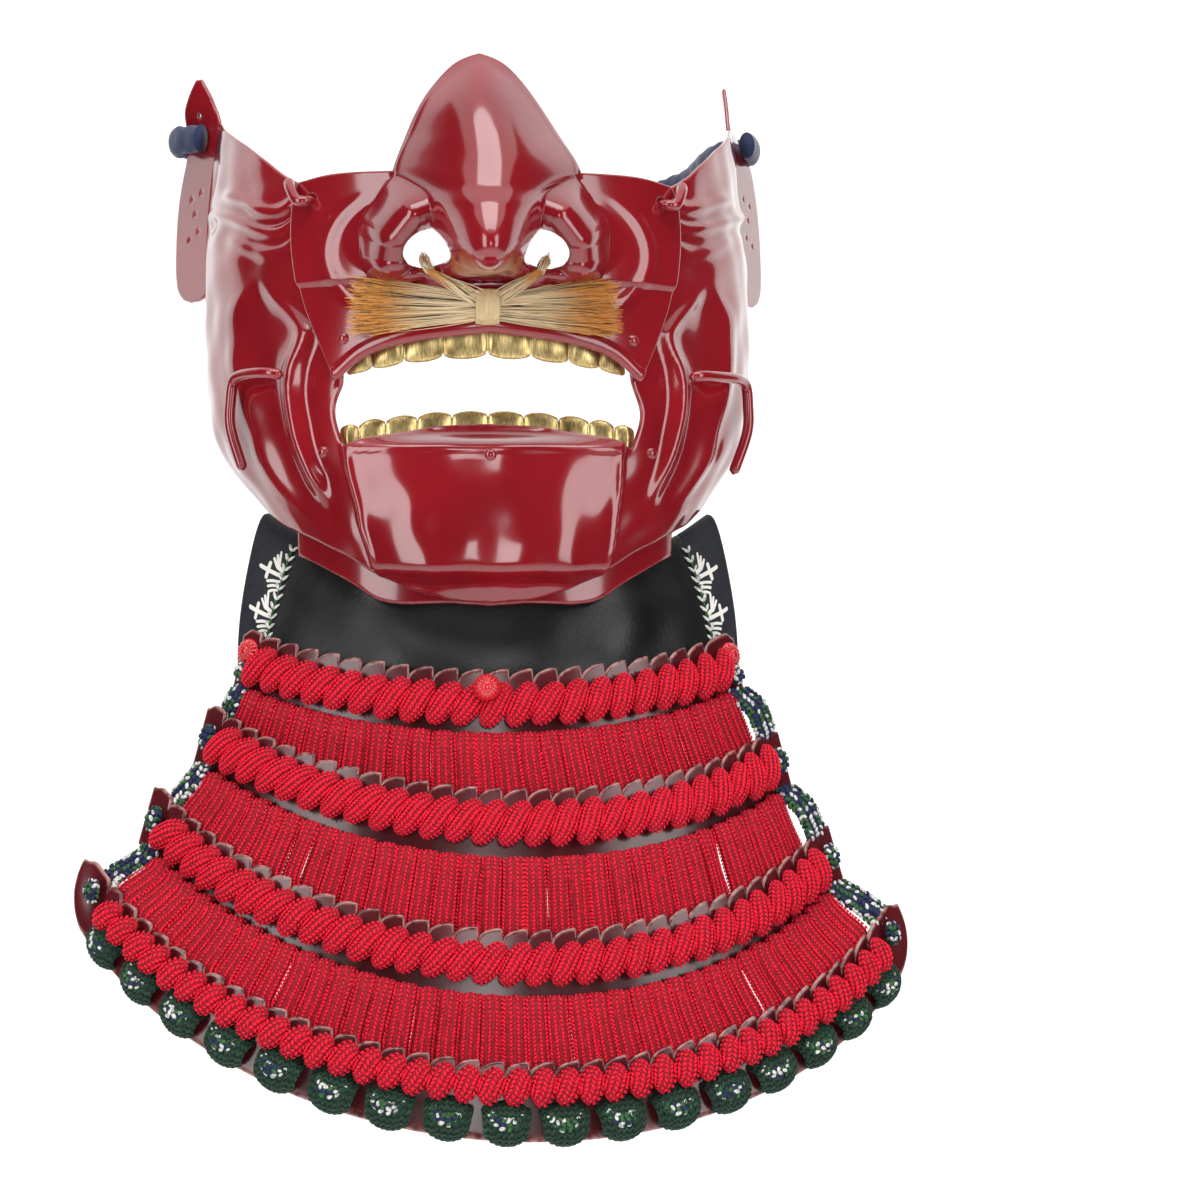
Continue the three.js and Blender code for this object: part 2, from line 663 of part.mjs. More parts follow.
function teeth(divisions, base, tip, depth) {
  const perTooth = 3;
  const columns = (divisions.length - 1) * perTooth;
  const { points, quads } = grid(columns, 1, (s, v) => {
    const tooth = Math.min(divisions.length - 2, Math.floor(s * (divisions.length - 1) + 1e-9));
    const inside = s * (divisions.length - 1) - tooth;
    const a = mix(divisions[tooth], divisions[tooth + 1], inside);
    const bow = Math.sin(Math.PI * inside);
    const end = mix(base(a), tip(a), 0.86 + 0.14 * Math.sqrt(bow));
    return offFace(a, mix(base(a), end, v), 1.1 * bow - depth(a));
  });
  const facing = tip(0) > base(0) ? quads : quads.map((q) => [...q].reverse());
  return wall(points, facing, 0, IRON);
}

const upperLip = (a) => smooth(PLATE_LIP, "a", "z", Math.abs(a));
const lowerLip = (a) => smooth(LOWER_LIP, "a", "z", Math.min(Math.abs(a), 44));
const upperTip = (a) => 40.3 - 4.3 * (a / 44) ** 2;
const lowerTip = (a) => lowerLip(a) + 4.4 + 2.6 * (a / 45) ** 2;
const upperTeeth = teeth(UPPER_TEETH, (a) => upperLip(a) + 5, upperTip, () => 3.4);
const lowerTeeth = teeth(LOWER_TEETH, (a) => lowerLip(a) - 5, lowerTip, (a) => IRON + 2 + lipShelf(a));
piece("teeth_upper", upperTeeth, FINISH.gold);
piece("teeth_lower", lowerTeeth, FINISH.gold);

// ---- Moustache: a bound bundle of hair on the upper lip ----

const MOUSTACHE = [
  { at: -1, x: -38, z: 54, high: 5.8, deep: 1.8 },
  { at: -0.7, x: -27, z: 54, high: 5.2, deep: 2.4 },
  { at: -0.3, x: -12, z: 53.4, high: 4.6, deep: 2.6 },
  { at: 0, x: -1, z: 53.2, high: 4.2, deep: 2.9 },
  { at: 0.3, x: 11, z: 53.2, high: 4.6, deep: 2.6 },
  { at: 0.7, x: 26, z: 53.4, high: 5.2, deep: 2.4 },
  { at: 1, x: 37, z: 53.4, high: 6, deep: 1.8 },
];
const MOUSTACHE_OFF = 2.4; // from the lip plate to the back of the hair
const STRANDS = [
  [new THREE.Vector3(-4, -8, 55), new THREE.Vector3(-11.4, -8, 59.4), new THREE.Vector3(-16.4, -6, 63.4)],
  [new THREE.Vector3(2, -8, 55), new THREE.Vector3(8.4, -8, 60), new THREE.Vector3(12.6, -6, 63.8)],
];

function hairPoint(at) {
  const [x, z] = [smooth(MOUSTACHE, "at", "x", at), smooth(MOUSTACHE, "at", "z", at)];
  return offFace(x, z, IRON * 2 + GAP + MOUSTACHE_OFF + smooth(MOUSTACHE, "at", "deep", at));
}

function moustache() {
  const steps = 10;
  const rings = Array.from({ length: steps + 1 }, (_, i) => {
    const at = (2 * i) / steps - 1;
    const x = smooth(MOUSTACHE, "at", "x", at);
    const outward = faceNormal(x, 54).multiplyScalar(smooth(MOUSTACHE, "at", "deep", at));
    return oval(hairPoint(at), new THREE.Vector3(0, 0, smooth(MOUSTACHE, "at", "high", at)), outward, 8);
  });
  return STRANDS.reduce((made, line) => made.add(rod(line, 2.2, 3)), loft(rings));
}

piece("moustache", moustache(), FINISH.hair);

// ---- Head strap: one padded loop from ear to ear round the back of the head ----

const STRAP = { high: 4.4, deep: 2.4 };
const STRAP_LINE = [
  { x: -86.2, y: 104.6, z: 117 },
  { x: -89.8, y: 109.6, z: 117.4 },
  { x: -94, y: 116.4, z: 118 },
  { x: -95, y: 121.4, z: 118.2 },
  { x: -92.6, y: 126, z: 118 },
  { x: -87.6, y: 129.4, z: 117.2 },
  { x: -83.2, y: 134.4, z: 115.6 },
  { x: -79, y: 146, z: 113.4 },
  { x: -72, y: 168, z: 111.2 },
  { x: -57, y: 190, z: 110 },
  { x: -32, y: 204, z: 109.6 },
  { x: 0, y: 209, z: 109.6 },
  { x: 32, y: 204, z: 110 },
  { x: 58, y: 190, z: 111 },
  { x: 73, y: 168, z: 113.6 },
  { x: 79, y: 146, z: 118 },
  { x: 82.6, y: 135.4, z: 118.6 },
  { x: 86.4, y: 130.4, z: 118.4 },
  { x: 89.6, y: 127, z: 118.2 },
  { x: 90.8, y: 122.6, z: 118 },
  { x: 89.8, y: 116.6, z: 117.6 },
  { x: 88, y: 109.6, z: 117.2 },
  { x: 86.4, y: 104, z: 117 },
];

function strap() {
  const places = STRAP_LINE.map(({ x, y, z }) => new THREE.Vector3(x, y, z));
  const line = new THREE.CatmullRomCurve3(places, false, "centripetal");
  const steps = 46;
  const upward = new THREE.Vector3(0, 0, STRAP.high);
  const rings = Array.from({ length: steps + 1 }, (_, i) => {
    const sideways = line.getTangentAt(i / steps).cross(new THREE.Vector3(0, 0, 1)).setLength(STRAP.deep);
    return oval(line.getPointAt(i / steps), sideways, upward, 6);
  });
  return loft(rings);
}

piece("head_strap", strap(), FINISH.navy);

// ---- Neck flange under the jaw ----

const FLANGE = { reach: 0.66, inset: 1.7, above: 2.5, below: { middle: 1, side: 8 }, taper: 0.4 };

function flangePoint(s, v) {
  const { a, z } = onOutline(JAW_RIM, Math.abs(s) * FLANGE.reach);
  const below = mix(FLANGE.below.middle, FLANGE.below.side, ease(12, 50, a));
  const drop = mix(FLANGE.above, -below, v);
  return offFace(Math.sign(s) * a, z, -FLANGE.inset - FLANGE.taper * v).add(new THREE.Vector3(0, 0, drop));
}

const flange = grid(30, 1, (s, v) => flangePoint(2 * s - 1, 1 - v));
piece("neck_flange", wall(flange.points, flange.quads, 0, IRON), FINISH.lacquer);

// ---- Lames ----

function arcPoint(edge, u) {
  const sag = Math.hypot(edge.endY - edge.midY, edge.endZ - edge.midZ);
  const half = 2 * Math.atan(sag / edge.endX);
  const back = (1 - Math.cos(half * u)) / (1 - Math.cos(half));
  return new THREE.Vector3(
    (edge.endX * Math.sin(half * u)) / Math.sin(half),
    mix(edge.midY, edge.endY, back),
    mix(edge.midZ, edge.endZ, back),
  );
}

// A point on a lame: u from end to end (-1 to 1), w from the top edge (0) to the bottom (1).
function lamePoint(lame, u, w) {
  const point = arcPoint(lame.top, u).lerp(arcPoint(lame.bottom, u), w);
  point.x += lame.sway + lame.belly * Math.sign(u) * ease(0.95, 1, Math.abs(u)) * 4 * w * (1 - w);
  point.z -= point.x * Math.tan(THREE.MathUtils.degToRad(lame.tilt));
  return point;
}

function lameNormal(lame, u, w) {
  const across = lamePoint(lame, u + 0.01, w).sub(lamePoint(lame, u - 0.01, w));
  const upward = lamePoint(lame, u, w - 0.05).sub(lamePoint(lame, u, w + 0.05));
  return across.cross(upward).normalize();
}

const offLame = (lame, u, w, out) => lamePoint(lame, u, w).addScaledVector(lameNormal(lame, u, w), out);

const headCount = (lame) => {
  let length = 0;
  const edge = (i) => lamePoint(lame, mix(-1, 1, i / 40), 0);
  for (let i = 0; i < 40; i += 1) length += edge(i).distanceTo(edge(i + 1));
  return Math.round((length * lame.teeth) / TOOTH_PITCH);
};

// Each scale head rises in a quarter round from its left and drops straight at its right.
const HEAD = [
  { along: 0.06, deep: 1 },
  { along: 0.4, deep: 0.22 },
  { along: 0.98, deep: 0 },
];

function lame(spec) {
  const heads = headCount(spec);
  const columns = [{ u: -1, w: 0.1 }, { u: -0.965, w: 0 }, { u: -spec.teeth - 0.01, w: 0 }];
  for (let head = 0; head < heads; head += 1)
    HEAD.forEach(({ along, deep }) => {
      columns.push({ u: mix(-spec.teeth, spec.teeth, (head + along) / heads), w: deep * TOOTH_SHARE });
    });
  columns.push({ u: spec.teeth + 0.006, w: TOOTH_SHARE * 0.9 }, { u: spec.teeth + 0.02, w: 0 });
  columns.push({ u: 0.965, w: 0 }, { u: 1, w: 0.1 });
  const { points, quads } = grid(columns.length - 1, 1, (s, v, i, j) => {
    const { u, w } = columns[i];
    return lamePoint(spec, u, j === 0 ? 1 : w);
  });
  return wall(points, quads, IRON / 2, IRON / 2);
}

LAMES.forEach((spec, i) => piece(`lame_${i + 1}`, lame(spec), FINISH.lame_lacquer));

// ---- Neck leather with a patterned band at each end ----

// Upper edge of the leather, tucked up inside the jaw, from the middle outwards.
const NECK_TOP = [
  { g: 0, x: 0, y: 8.6, z: -27 },
  { g: 0.25, x: 18, y: 10.4, z: -25.5 },
  { g: 0.5, x: 35, y: 16, z: -19.5 },
  { g: 0.7, x: 45.8, y: 27.4, z: -13.2 },
  { g: 0.86, x: 55.4, y: 41, z: -9.4 },
  { g: 1, x: 65.6, y: 52, z: -3 },
];
const NECK = { bandFrom: 0.86, sway: 2, behind: 2.6, foot: 0.72, spread: 1.04, centre: 70 };

function neckPoint(g, v) {
  const away = Math.abs(g);
  const top = new THREE.Vector3(
    Math.sign(g) * smooth(NECK_TOP, "g", "x", away) + NECK.sway,
    smooth(NECK_TOP, "g", "y", away),
    smooth(NECK_TOP, "g", "z", away),
  );
  const behind = NECK.behind + 1.2 * ease(0.9, 1, away);
  const foot = offLame(LAMES[0], g * NECK.spread, NECK.foot, -behind);
  const swell = 2 * Math.sin(Math.PI * v ** 1.6) * (1 - 0.5 * g * g);
  const outward = new THREE.Vector3(top.x, top.y - NECK.centre, 0).setLength(swell);
  const spread = v ** mix(1.25, 0.5, ease(0.6, 1, away));
  const [x, y] = [mix(top.x, foot.x, spread), mix(top.y, foot.y, spread)];
  return new THREE.Vector3(x, y, mix(top.z, foot.z, v)).add(outward);
}

function neckStrip(from, to, columns) {
  const { points, quads } = grid(columns, 4, (s, v) => neckPoint(mix(from, to, s), 1 - v));
  return wall(points, quads, LEATHER / 2, LEATHER / 2);
}

const SLIT = 0.004; // half the gap between leather and band, as a share of the half width
piece("neck_leather", neckStrip(-NECK.bandFrom + SLIT, NECK.bandFrom - SLIT, 18), FINISH.leather);
piece("neck_band_left", neckStrip(-1, -NECK.bandFrom - SLIT, 3), FINISH.band);
piece("neck_band_right", neckStrip(NECK.bandFrom + SLIT, 1, 3), FINISH.band);

// ---- Lacing: a slanted rope along each lame, and flat laces down to the next one ----

function rope(spec) {
  const steps = 18;
  const centreOut = IRON / 2 + GAP + ROPE.deep;
  const rings = Array.from({ length: steps + 1 }, (_, i) => {
    const u = mix(-ROPE.reach, ROPE.reach, i / steps);
    const outward = lameNormal(spec, u, spec.ropeAt).multiplyScalar(ROPE.deep);
    const upward = lamePoint(spec, u, 0).sub(lamePoint(spec, u, 1)).setLength(spec.ropeHigh);
    const narrow = i === 0 || i === steps ? 0.6 : 1;
    const centre = offLame(spec, u, spec.ropeAt, centreOut);
    return oval(centre, outward.multiplyScalar(narrow), upward.multiplyScalar(narrow), 6);
  });
  return loft(rings);
}

LAMES.forEach((spec, i) => piece(`rope_lacing_${i + 1}`, rope(spec), FINISH.red_braid));

// Middle surface of the laces from the holes of one lame to behind the head of the next.
function lacePoint(upper, lower, u, v) {
  const out = IRON / 2 + GAP + LACE / 2;
  const from = offLame(upper, u, 0.8, out + 0.2);
  const over = offLame(upper, u, 0.98, out + 0.9);
  const behind = offLame(lower, u, 0.04, -out);
  const end = offLame(lower, u, 0.36, -out);
  return new THREE.CatmullRomCurve3([from, over, over.clone().lerp(behind, 0.5), behind, end]).getPoint(v);
}

function laces(upper, lower) {
  const reach = 0.9;
  const { points, quads } = grid(18, 5, (s, v) => lacePoint(upper, lower, mix(-reach, reach, s), 1 - v));
  return wall(points, quads, LACE / 2, LACE / 2);
}

LAMES.slice(1).forEach((lower, i) => piece(`lacing_${i + 1}`, laces(LAMES[i], lower), FINISH.red_braid));

// ---- Rosette studs on the top lame ----

const STUD = { radius: 3.7, height: 2.6 };
const STUDS = [
  { name: "left", u: -0.955, w: 0.3, out: IRON / 2 + GAP },
  { name: "centre", u: -0.03, w: 0.24, out: 7 },
  { name: "right", u: 0.955, w: 0.3, out: IRON / 2 + GAP },
];
STUDS.forEach(({ name, u, w, out }) => {
  const place = offLame(LAMES[0], u, w, out);
  const outward = lameNormal(LAMES[0], u, w);
  piece(`rosette_${name}`, dome(place, outward, STUD.radius, STUD.height, 12), FINISH.stud);
});

// ---- Side lacing in mixed colours: a knot at each lame's end, and a loop down to the next ----

const SIDE_KNOT = { wide: 2.7, high: 4.2, deep: 2.2 };
const SIDE_LOOP = { from: 0.914, to: 0.952, bulge: { left: 0.6, right: 3 } };
const KNOT_PLACES = [
  { u: 0.938, w: 0.6, high: 0.7 },
  { u: 0.94, w: 0.42, high: 1 },
  { u: 0.945, w: 0.42, high: 1 },
  { u: 0.945, w: 0.26, high: 0.9 },
];

SIDES.forEach(({ name, sign }) => {
  LAMES.forEach((spec, i) => {
    const { w, high } = KNOT_PLACES[i];
    const u = sign * KNOT_PLACES[i].u;
    const outward = lameNormal(spec, u, w);
    const upward = lamePoint(spec, u, 0).sub(lamePoint(spec, u, 1)).normalize();
    const across = upward.clone().cross(outward);
    piece(
      `side_knot_${name}_${i + 1}`,
      lump(
        offLame(spec, u, w, IRON / 2 + GAP + SIDE_KNOT.deep),
        across.multiplyScalar(SIDE_KNOT.wide),
        upward.multiplyScalar(SIDE_KNOT.high * high),
        outward.multiplyScalar(SIDE_KNOT.deep),
      ),
      FINISH.mixed_braid,
    );
    if (i === 0) return;
    const upper = LAMES[i - 1];
    const { points, quads } = grid(2, 5, (s, v) => {
      const along = mix(SIDE_LOOP.from, SIDE_LOOP.to, s) * sign;
      const point = lacePoint(upper, spec, along, 1 - v);
      point.x += sign * SIDE_LOOP.bulge[name] * ease(0.4, 0.65, v) * (1 - ease(0.75, 1, v)) * s;
      return point;
    });
    const facing = sign > 0 ? quads : quads.map((q) => [...q].reverse());
    const half = LACE / 2 - 0.2;
    piece(`side_loop_${name}_${i}`, wall(points, facing, half, half), FINISH.mixed_braid);
  });
});

// ---- Hem knots: yarn wrapped round the bottom edge of the lowest lame ----

function hemKnot(u) {
  const spec = LAMES[3];
  const outward = lameNormal(spec, u, 1);
  const along = lamePoint(spec, u + 0.01, 1).sub(lamePoint(spec, u - 0.01, 1)).normalize();
  const downward = along.clone().cross(outward).normalize();
  const across = outward.clone().cross(downward).normalize();
  const clear = IRON / 2 + GAP * 1.4;
  const { above, below, deep, wide } = HEM_KNOT;
  const back = deep * 0.45;
  const outline = [
    [clear, -above],
    [clear + deep * 0.7, -above + 1.2],
    [clear + deep, -above * 0.45],
    [clear + deep * 0.8, 0],
    [clear * 0.5, below + 0.6],
    [-clear - back * 0.7, below * 0.4],
    [-clear - back, -above * 0.4],
    [-clear, -above * 0.75],
    [-clear, GAP],
    [clear, GAP],
  ];
  const shape = new THREE.Shape(outline.map(([x, y]) => new THREE.Vector2(x, y)));
  const geometry = new THREE.ExtrudeGeometry(shape, { depth: wide, steps: 1, bevelEnabled: false });
  const foot = lamePoint(spec, u, 1).addScaledVector(across, -wide / 2);
  geometry.applyMatrix4(new THREE.Matrix4().makeBasis(outward, downward, across).setPosition(foot));
  return fromGeometry(geometry);
}

for (let i = 0; i < HEM_KNOTS; i += 1) {
  const u = mix(-HEM_KNOT.span, HEM_KNOT.span, i / (HEM_KNOTS - 1));
  piece(`hem_knot_${String(i + 1).padStart(2, "0")}`, hemKnot(u), FINISH.green_braid);
}

export default guard;
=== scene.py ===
# %% [markdown]
# # A laced face guard, made step by step
# This is an iron half mask of the kind that was worn under a samurai helmet, with its throat
# guard of laced lames. Every part of it is either a sheet that follows the face, or a braid
# that follows a sheet. So the lesson first writes the face and the lames as small formulas,
# then cuts every piece out of them, and lets Geometry Nodes place what repeats.
# All lengths are in millimetres up to the moment that a mesh is made.

# %% Load the frame
import math

import bpy
import numpy as np
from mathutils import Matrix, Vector


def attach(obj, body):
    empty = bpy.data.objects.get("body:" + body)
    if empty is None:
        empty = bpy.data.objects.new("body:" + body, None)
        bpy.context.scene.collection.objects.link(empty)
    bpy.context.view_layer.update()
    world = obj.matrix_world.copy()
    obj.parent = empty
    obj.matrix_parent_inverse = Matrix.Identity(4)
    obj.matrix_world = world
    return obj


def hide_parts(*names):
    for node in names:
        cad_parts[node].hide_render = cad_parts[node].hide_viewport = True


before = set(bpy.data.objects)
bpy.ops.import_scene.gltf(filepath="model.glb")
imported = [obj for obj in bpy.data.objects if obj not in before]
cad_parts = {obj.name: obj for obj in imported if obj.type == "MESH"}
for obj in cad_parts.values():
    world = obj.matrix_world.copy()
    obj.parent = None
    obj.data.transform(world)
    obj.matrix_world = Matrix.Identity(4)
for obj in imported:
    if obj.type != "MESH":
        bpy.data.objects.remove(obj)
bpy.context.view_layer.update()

MM = 0.001
scene = bpy.context.scene
print("the frame holds", len(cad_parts), "nodes")

# %% [markdown]
# ## Camera
# A portrait lens a little way off, level with the lower lip and a touch to one side, keeps the
# nose from looking too big and both ears in view.

# %% Set the camera
lens = bpy.data.cameras.new("portrait_lens")
lens.lens = 85.6
lens.sensor_width = 36
camera = bpy.data.objects.new("camera", lens)
camera.location = (-0.0349, -0.7992, -0.028)
camera.rotation_euler = (math.radians(90), 0, math.radians(-4.708))
scene.collection.objects.link(camera)
scene.camera = camera
scene.view_settings.view_transform = "Standard"
print("the camera stands", round(camera.location.length, 3), "m off")

# %% [markdown]
# ## Light
# Gloss lacquer shows what is around it more than its own colour. Two broad soft boxes and a
# narrow one beside the camera give the chin its upright bands, a dark half tent between them
# keeps the front deep red, and the pale sweep behind washes the cheeks where they turn away.

# %% Soft boxes, sweep and half tent
def soft_box(name, place, size, power, spread=180):
    light = bpy.data.lights.new(name, "AREA")
    light.shape = "RECTANGLE"
    light.size, light.size_y = size
    light.energy = power
    light.spread = math.radians(spread)
    lamp = bpy.data.objects.new(name, light)
    lamp.location = place
    lamp.rotation_euler = (Vector((0, 0, 0)) - lamp.location).to_track_quat("-Z", "Y").to_euler()
    scene.collection.objects.link(lamp)
    return lamp


def round_about(azimuth, distance, height):
    """A place round the guard: azimuth from straight ahead, positive to the viewer's right."""
    turn = math.radians(azimuth)
    return (distance * math.sin(turn), -distance * math.cos(turn), height)


soft_box("box_left", round_about(-50, 1.3, 0.25), (0.55, 1.2), 9)
soft_box("box_right", round_about(46, 1.3, 0.25), (0.55, 1.2), 8)
soft_box("box_middle", round_about(0, 1.5, 0.12), (0.3, 0.55), 2.6)
soft_box("box_top", (0, -0.5, 1.3), (1.4, 0.7), 12)


def stage_paint(name, colour, roughness=0.9, glow=0.0):
    paint = bpy.data.materials.new(name)
    paint.use_nodes = True
    shader = paint.node_tree.nodes["Principled BSDF"]
    shader.inputs["Base Color"].default_value = (*colour, 1)
    shader.inputs["Roughness"].default_value = roughness
    shader.inputs["Emission Color"].default_value = (*colour, 1)
    shader.inputs["Emission Strength"].default_value = glow
    return paint


def stage_piece(name, points, quads, paint):
    mesh = bpy.data.meshes.new(name)
    mesh.from_pydata(points, [], quads)
    mesh.materials.append(paint)
    made = bpy.data.objects.new(name, mesh)
    scene.collection.objects.link(made)
    return made


def sweep():
    """A pale floor far below that curves up into a wall."""
    profile = [(-3, -0.75), (0.9, -0.75)]
    profile += [(0.9 + 0.6 * math.sin(t), -0.15 - 0.6 * math.cos(t)) for t in np.linspace(0.1, 1.57, 12)]
    profile += [(1.5, 2.6)]
    points = [(side * 4, y, z) for y, z in profile for side in (-1, 1)]
    quads = [(2 * i, 2 * i + 1, 2 * i + 3, 2 * i + 2) for i in range(len(profile) - 1)]
    return stage_piece("pale_sweep", points, quads, stage_paint("pale_paper", (0.9, 0.9, 0.9), glow=0.35))


def half_tent():
    """A dark cloth round the front, out of the camera's sight, that only reflections meet."""
    rows = [(h, t) for h in (-1.2, 2.2) for t in np.linspace(-118, 118, 25)]
    points = [round_about(t, 2.2, h) for h, t in rows]
    quads = [(i, i + 1, i + 26, i + 25) for i in range(24)]
    made = stage_piece("dark_tent", points, quads, stage_paint("dark_cloth", (0.02, 0.02, 0.02)))
    made.visible_camera = False
    return made


sweep()
half_tent()
world = bpy.data.worlds.new("studio")
world.use_nodes = True
world.node_tree.nodes["Background"].inputs["Color"].default_value = (1, 1, 1, 1)
world.node_tree.nodes["Background"].inputs["Strength"].default_value = 1.0
scene.world = world
print("the studio has", len(bpy.data.lights), "soft boxes")

# %% [markdown]
# ## Curves from short tables
# A plate maker works from a few measured sections and joins them by eye. A table with named
# columns does the same: a cubic through its rows gives the value anywhere between them.

# %% Tables and the curve through them
def table(columns, *rows):
    return {name: np.array(column, float) for name, column in zip(columns.split(), zip(*rows))}


def smooth(rows, key, name, x):
    """The column called name where the column called key has the value x."""
    at, value = rows[key], rows[name]
    x = np.clip(x, at[0], at[-1])
    i = np.clip(np.searchsorted(at, x, side="left") - 1, 0, len(at) - 2)
    k = np.arange(len(at))
    before, after = np.maximum(k - 1, 0), np.minimum(k + 1, len(at) - 1)
    slope = (value[after] - value[before]) / (at[after] - at[before])
    span = at[i + 1] - at[i]
    u = (x - at[i]) / span
    return (
        (2 * u**3 - 3 * u**2 + 1) * value[i]
        + (u**3 - 2 * u**2 + u) * span * slope[i]
        + (3 * u**2 - 2 * u**3) * value[i + 1]
        + (u**3 - u**2) * span * slope[i + 1]
    )


def mix(low, high, share):
    return low + (high - low) * share


def ease(low, high, x):
    u = np.clip((x - low) / (high - low), 0, 1)
    return u * u * (3 - 2 * u)


def hump(x, width):
    return np.exp(-((x / width) ** 2))


def unit(v):
    return v / np.maximum(np.linalg.norm(v, axis=-1, keepdims=True), 1e-12)


def vec(x, y, z):
    return np.stack(np.broadcast_arrays(x, y, z), -1).astype(float)


# %% [markdown]
# ## The face as a surface
# The face is a set of level sections, each a bow from the middle of the chin to the ear. A
# place on it is given by a, the way round from the middle, and z, the height. Everything on
# the mask is drawn in that flat map and then lifted on to the face.

# %% The face's sections
FACE = table(
    "z half front rear square",
    (-30, 50, 0.5, 48, 0.74),
    (-15, 58, -1.6, 53, 0.74),
    (0, 67.5, -1.4, 61, 0.72),
    (15, 78, -1.0, 73, 0.68),
    (30, 82, -0.5, 82, 0.64),
    (60, 84, 0, 98, 0.6),
    (92, 83.5, 3, 104, 0.58),
    (125, 80, 8, 104, 0.56),
)


def bezier(p, q, r, s, t):
    return (1 - t) ** 3 * p + 3 * (1 - t) ** 2 * t * q + 3 * (1 - t) * t * t * r + t**3 * s


def section(t, z):
    half, front, rear, square = (smooth(FACE, "z", name, z) for name in ("half", "front", "rear", "square"))
    x = bezier(0, square * half, half, half, np.abs(t))
    y = bezier(front, front, (front + rear) / 2, rear, np.abs(t))
    return vec(np.sign(t) * x, y, z)


STEPS = np.linspace(0, 1, 201)
bow = section(STEPS, np.full_like(STEPS, 50))
ROUND = np.concatenate([[0], np.cumsum(np.linalg.norm(np.diff(bow, axis=0), axis=1))])
REAR = 139  # way round to the fold in front of the ear


def face_point(a, z):
    t = np.interp(np.minimum(np.abs(a), ROUND[-1] - 1e-6), ROUND, STEPS)
    return section(np.sign(a) * np.maximum(t, 1e-9), z)


def face_normal(a, z):
    across = face_point(a + 0.5, z) - face_point(a - 0.5, z)
    upward = face_point(a, z + 0.5) - face_point(a, z - 0.5)
    return unit(np.cross(across, upward))


def off_face(a, z, out):
    a, z = np.broadcast_arrays(np.asarray(a, float), np.asarray(z, float))
    return face_point(a, z) + face_normal(a, z) * np.asarray(out)[..., None]


print("the face runs", round(float(ROUND[-1]), 1), "mm from chin to ear")

# %% [markdown]
# ## Sheets with rounded edges
# Iron plate, leather and lames are all thin sheets. A sheet is made as one grid of faces, which
# then gets an inner side and a half-round edge, because a square edge would catch no light.
# Holes are cut in the flat map: faces inside the hole go, and the edge moves on to its outline.

# %% Grids, holes, plates
def grid(columns, rows):
    """Flat places s and v from 0 to 1, and the quads between them."""
    s, v = np.meshgrid(np.linspace(0, 1, columns + 1), np.linspace(0, 1, rows + 1))
    index = np.arange(s.size).reshape(s.shape)
    corners = [index[:-1, :-1], index[:-1, 1:], index[1:, 1:], index[1:, :-1]]
    return s.ravel(), v.ravel(), np.stack(corners, -1).reshape(-1, 4)


def cut_hole(a, z, quads, centre, wide, high):
    """Takes an oval out of a flat grid and moves its edge on to the oval."""
    far = np.hypot((a - centre[0]) / wide, (z - centre[1]) / high)
    gone = far[quads].mean(1) < 1
    edge = np.intersect1d(quads[gone], quads[~gone])
    a[edge] = centre[0] + (a[edge] - centre[0]) / far[edge]
    z[edge] = centre[1] + (z[edge] - centre[1]) / far[edge]
    return quads[~gone]


def point_normals(points, quads):
    p = points[quads]
    face = np.cross(p[:, 2] - p[:, 0], p[:, 3] - p[:, 1])
    normals = np.zeros_like(points)
    for corner in range(4):
        np.add.at(normals, quads[:, corner], face)
    return unit(normals)


def plate(points, quads, outside, inside, steps=4):
    """A closed wall of that thickness round the grid, with half-round edges.
    Also gives how near each point is to an edge: 1 on it, 0 elsewhere."""
    normals = point_normals(points, quads)
    outer, inner = points + normals * outside, points - normals * inside
    count = len(points)
    edges = np.concatenate([quads[:, [0, 1]], quads[:, [1, 2]], quads[:, [2, 3]], quads[:, [3, 0]]])
    free = edges[~np.isin(edges[:, 0] * count + edges[:, 1], edges[:, 1] * count + edges[:, 0])]
    rim = np.unique(free)
    place = np.full(count, -1)
    place[rim] = np.arange(len(rim))
    away = np.zeros_like(points)
    turn = unit(np.cross(points[free[:, 1]] - points[free[:, 0]], normals[free[:, 0]]))
    np.add.at(away, free[:, 0], turn)
    np.add.at(away, free[:, 1], turn)
    away = unit(away)[rim]
    half = (outside + inside) / 2
    middle = (outer[rim] + inner[rim]) / 2
    rings = [rim]
    parts = [outer, inner]
    for k in range(1, steps):
        angle = math.pi * k / steps
        rings.append(2 * count + (k - 1) * len(rim) + np.arange(len(rim)))
        parts.append(middle + half * (normals[rim] * math.cos(angle) + away * math.sin(angle)))
    rings.append(count + rim)
    sides = [quads, quads[:, ::-1] + count]
    for here, there in zip(rings, rings[1:]):
        a, b = place[free[:, 0]], place[free[:, 1]]
        sides.append(np.stack([here[b], here[a], there[a], there[b]], -1))
    edge = np.zeros(2 * count + (steps - 1) * len(rim))
    edge[rim] = edge[count + rim] = 0.6
    edge[2 * count :] = 1
    return np.concatenate(parts), np.concatenate(sides), edge


# %% [markdown]
# ## From arrays to pieces
# Each mesh is laid down in metres at the origin, rides on the guard's one body, and stands for
# the plain solid that it refines.

# %% Make a mesh, and hand it to the frame
def make_object(name, points, quads, material, attributes=None, smooth_faces=True):
    mesh = bpy.data.meshes.new(name)
    mesh.from_pydata((np.asarray(points) * MM).tolist(), [], np.asarray(quads).tolist())
    for key, (kind, values) in (attributes or {}).items():
        field = mesh.attributes.new(key, kind, "POINT")
        unit_name = "vector" if kind == "FLOAT_VECTOR" else "value"
        field.data.foreach_set(unit_name, np.asarray(values).ravel())
    if smooth_faces:
        mesh.shade_smooth()
    mesh.materials.append(material)
    made = bpy.data.objects.new(name, mesh)
    scene.collection.objects.link(made)
    return made


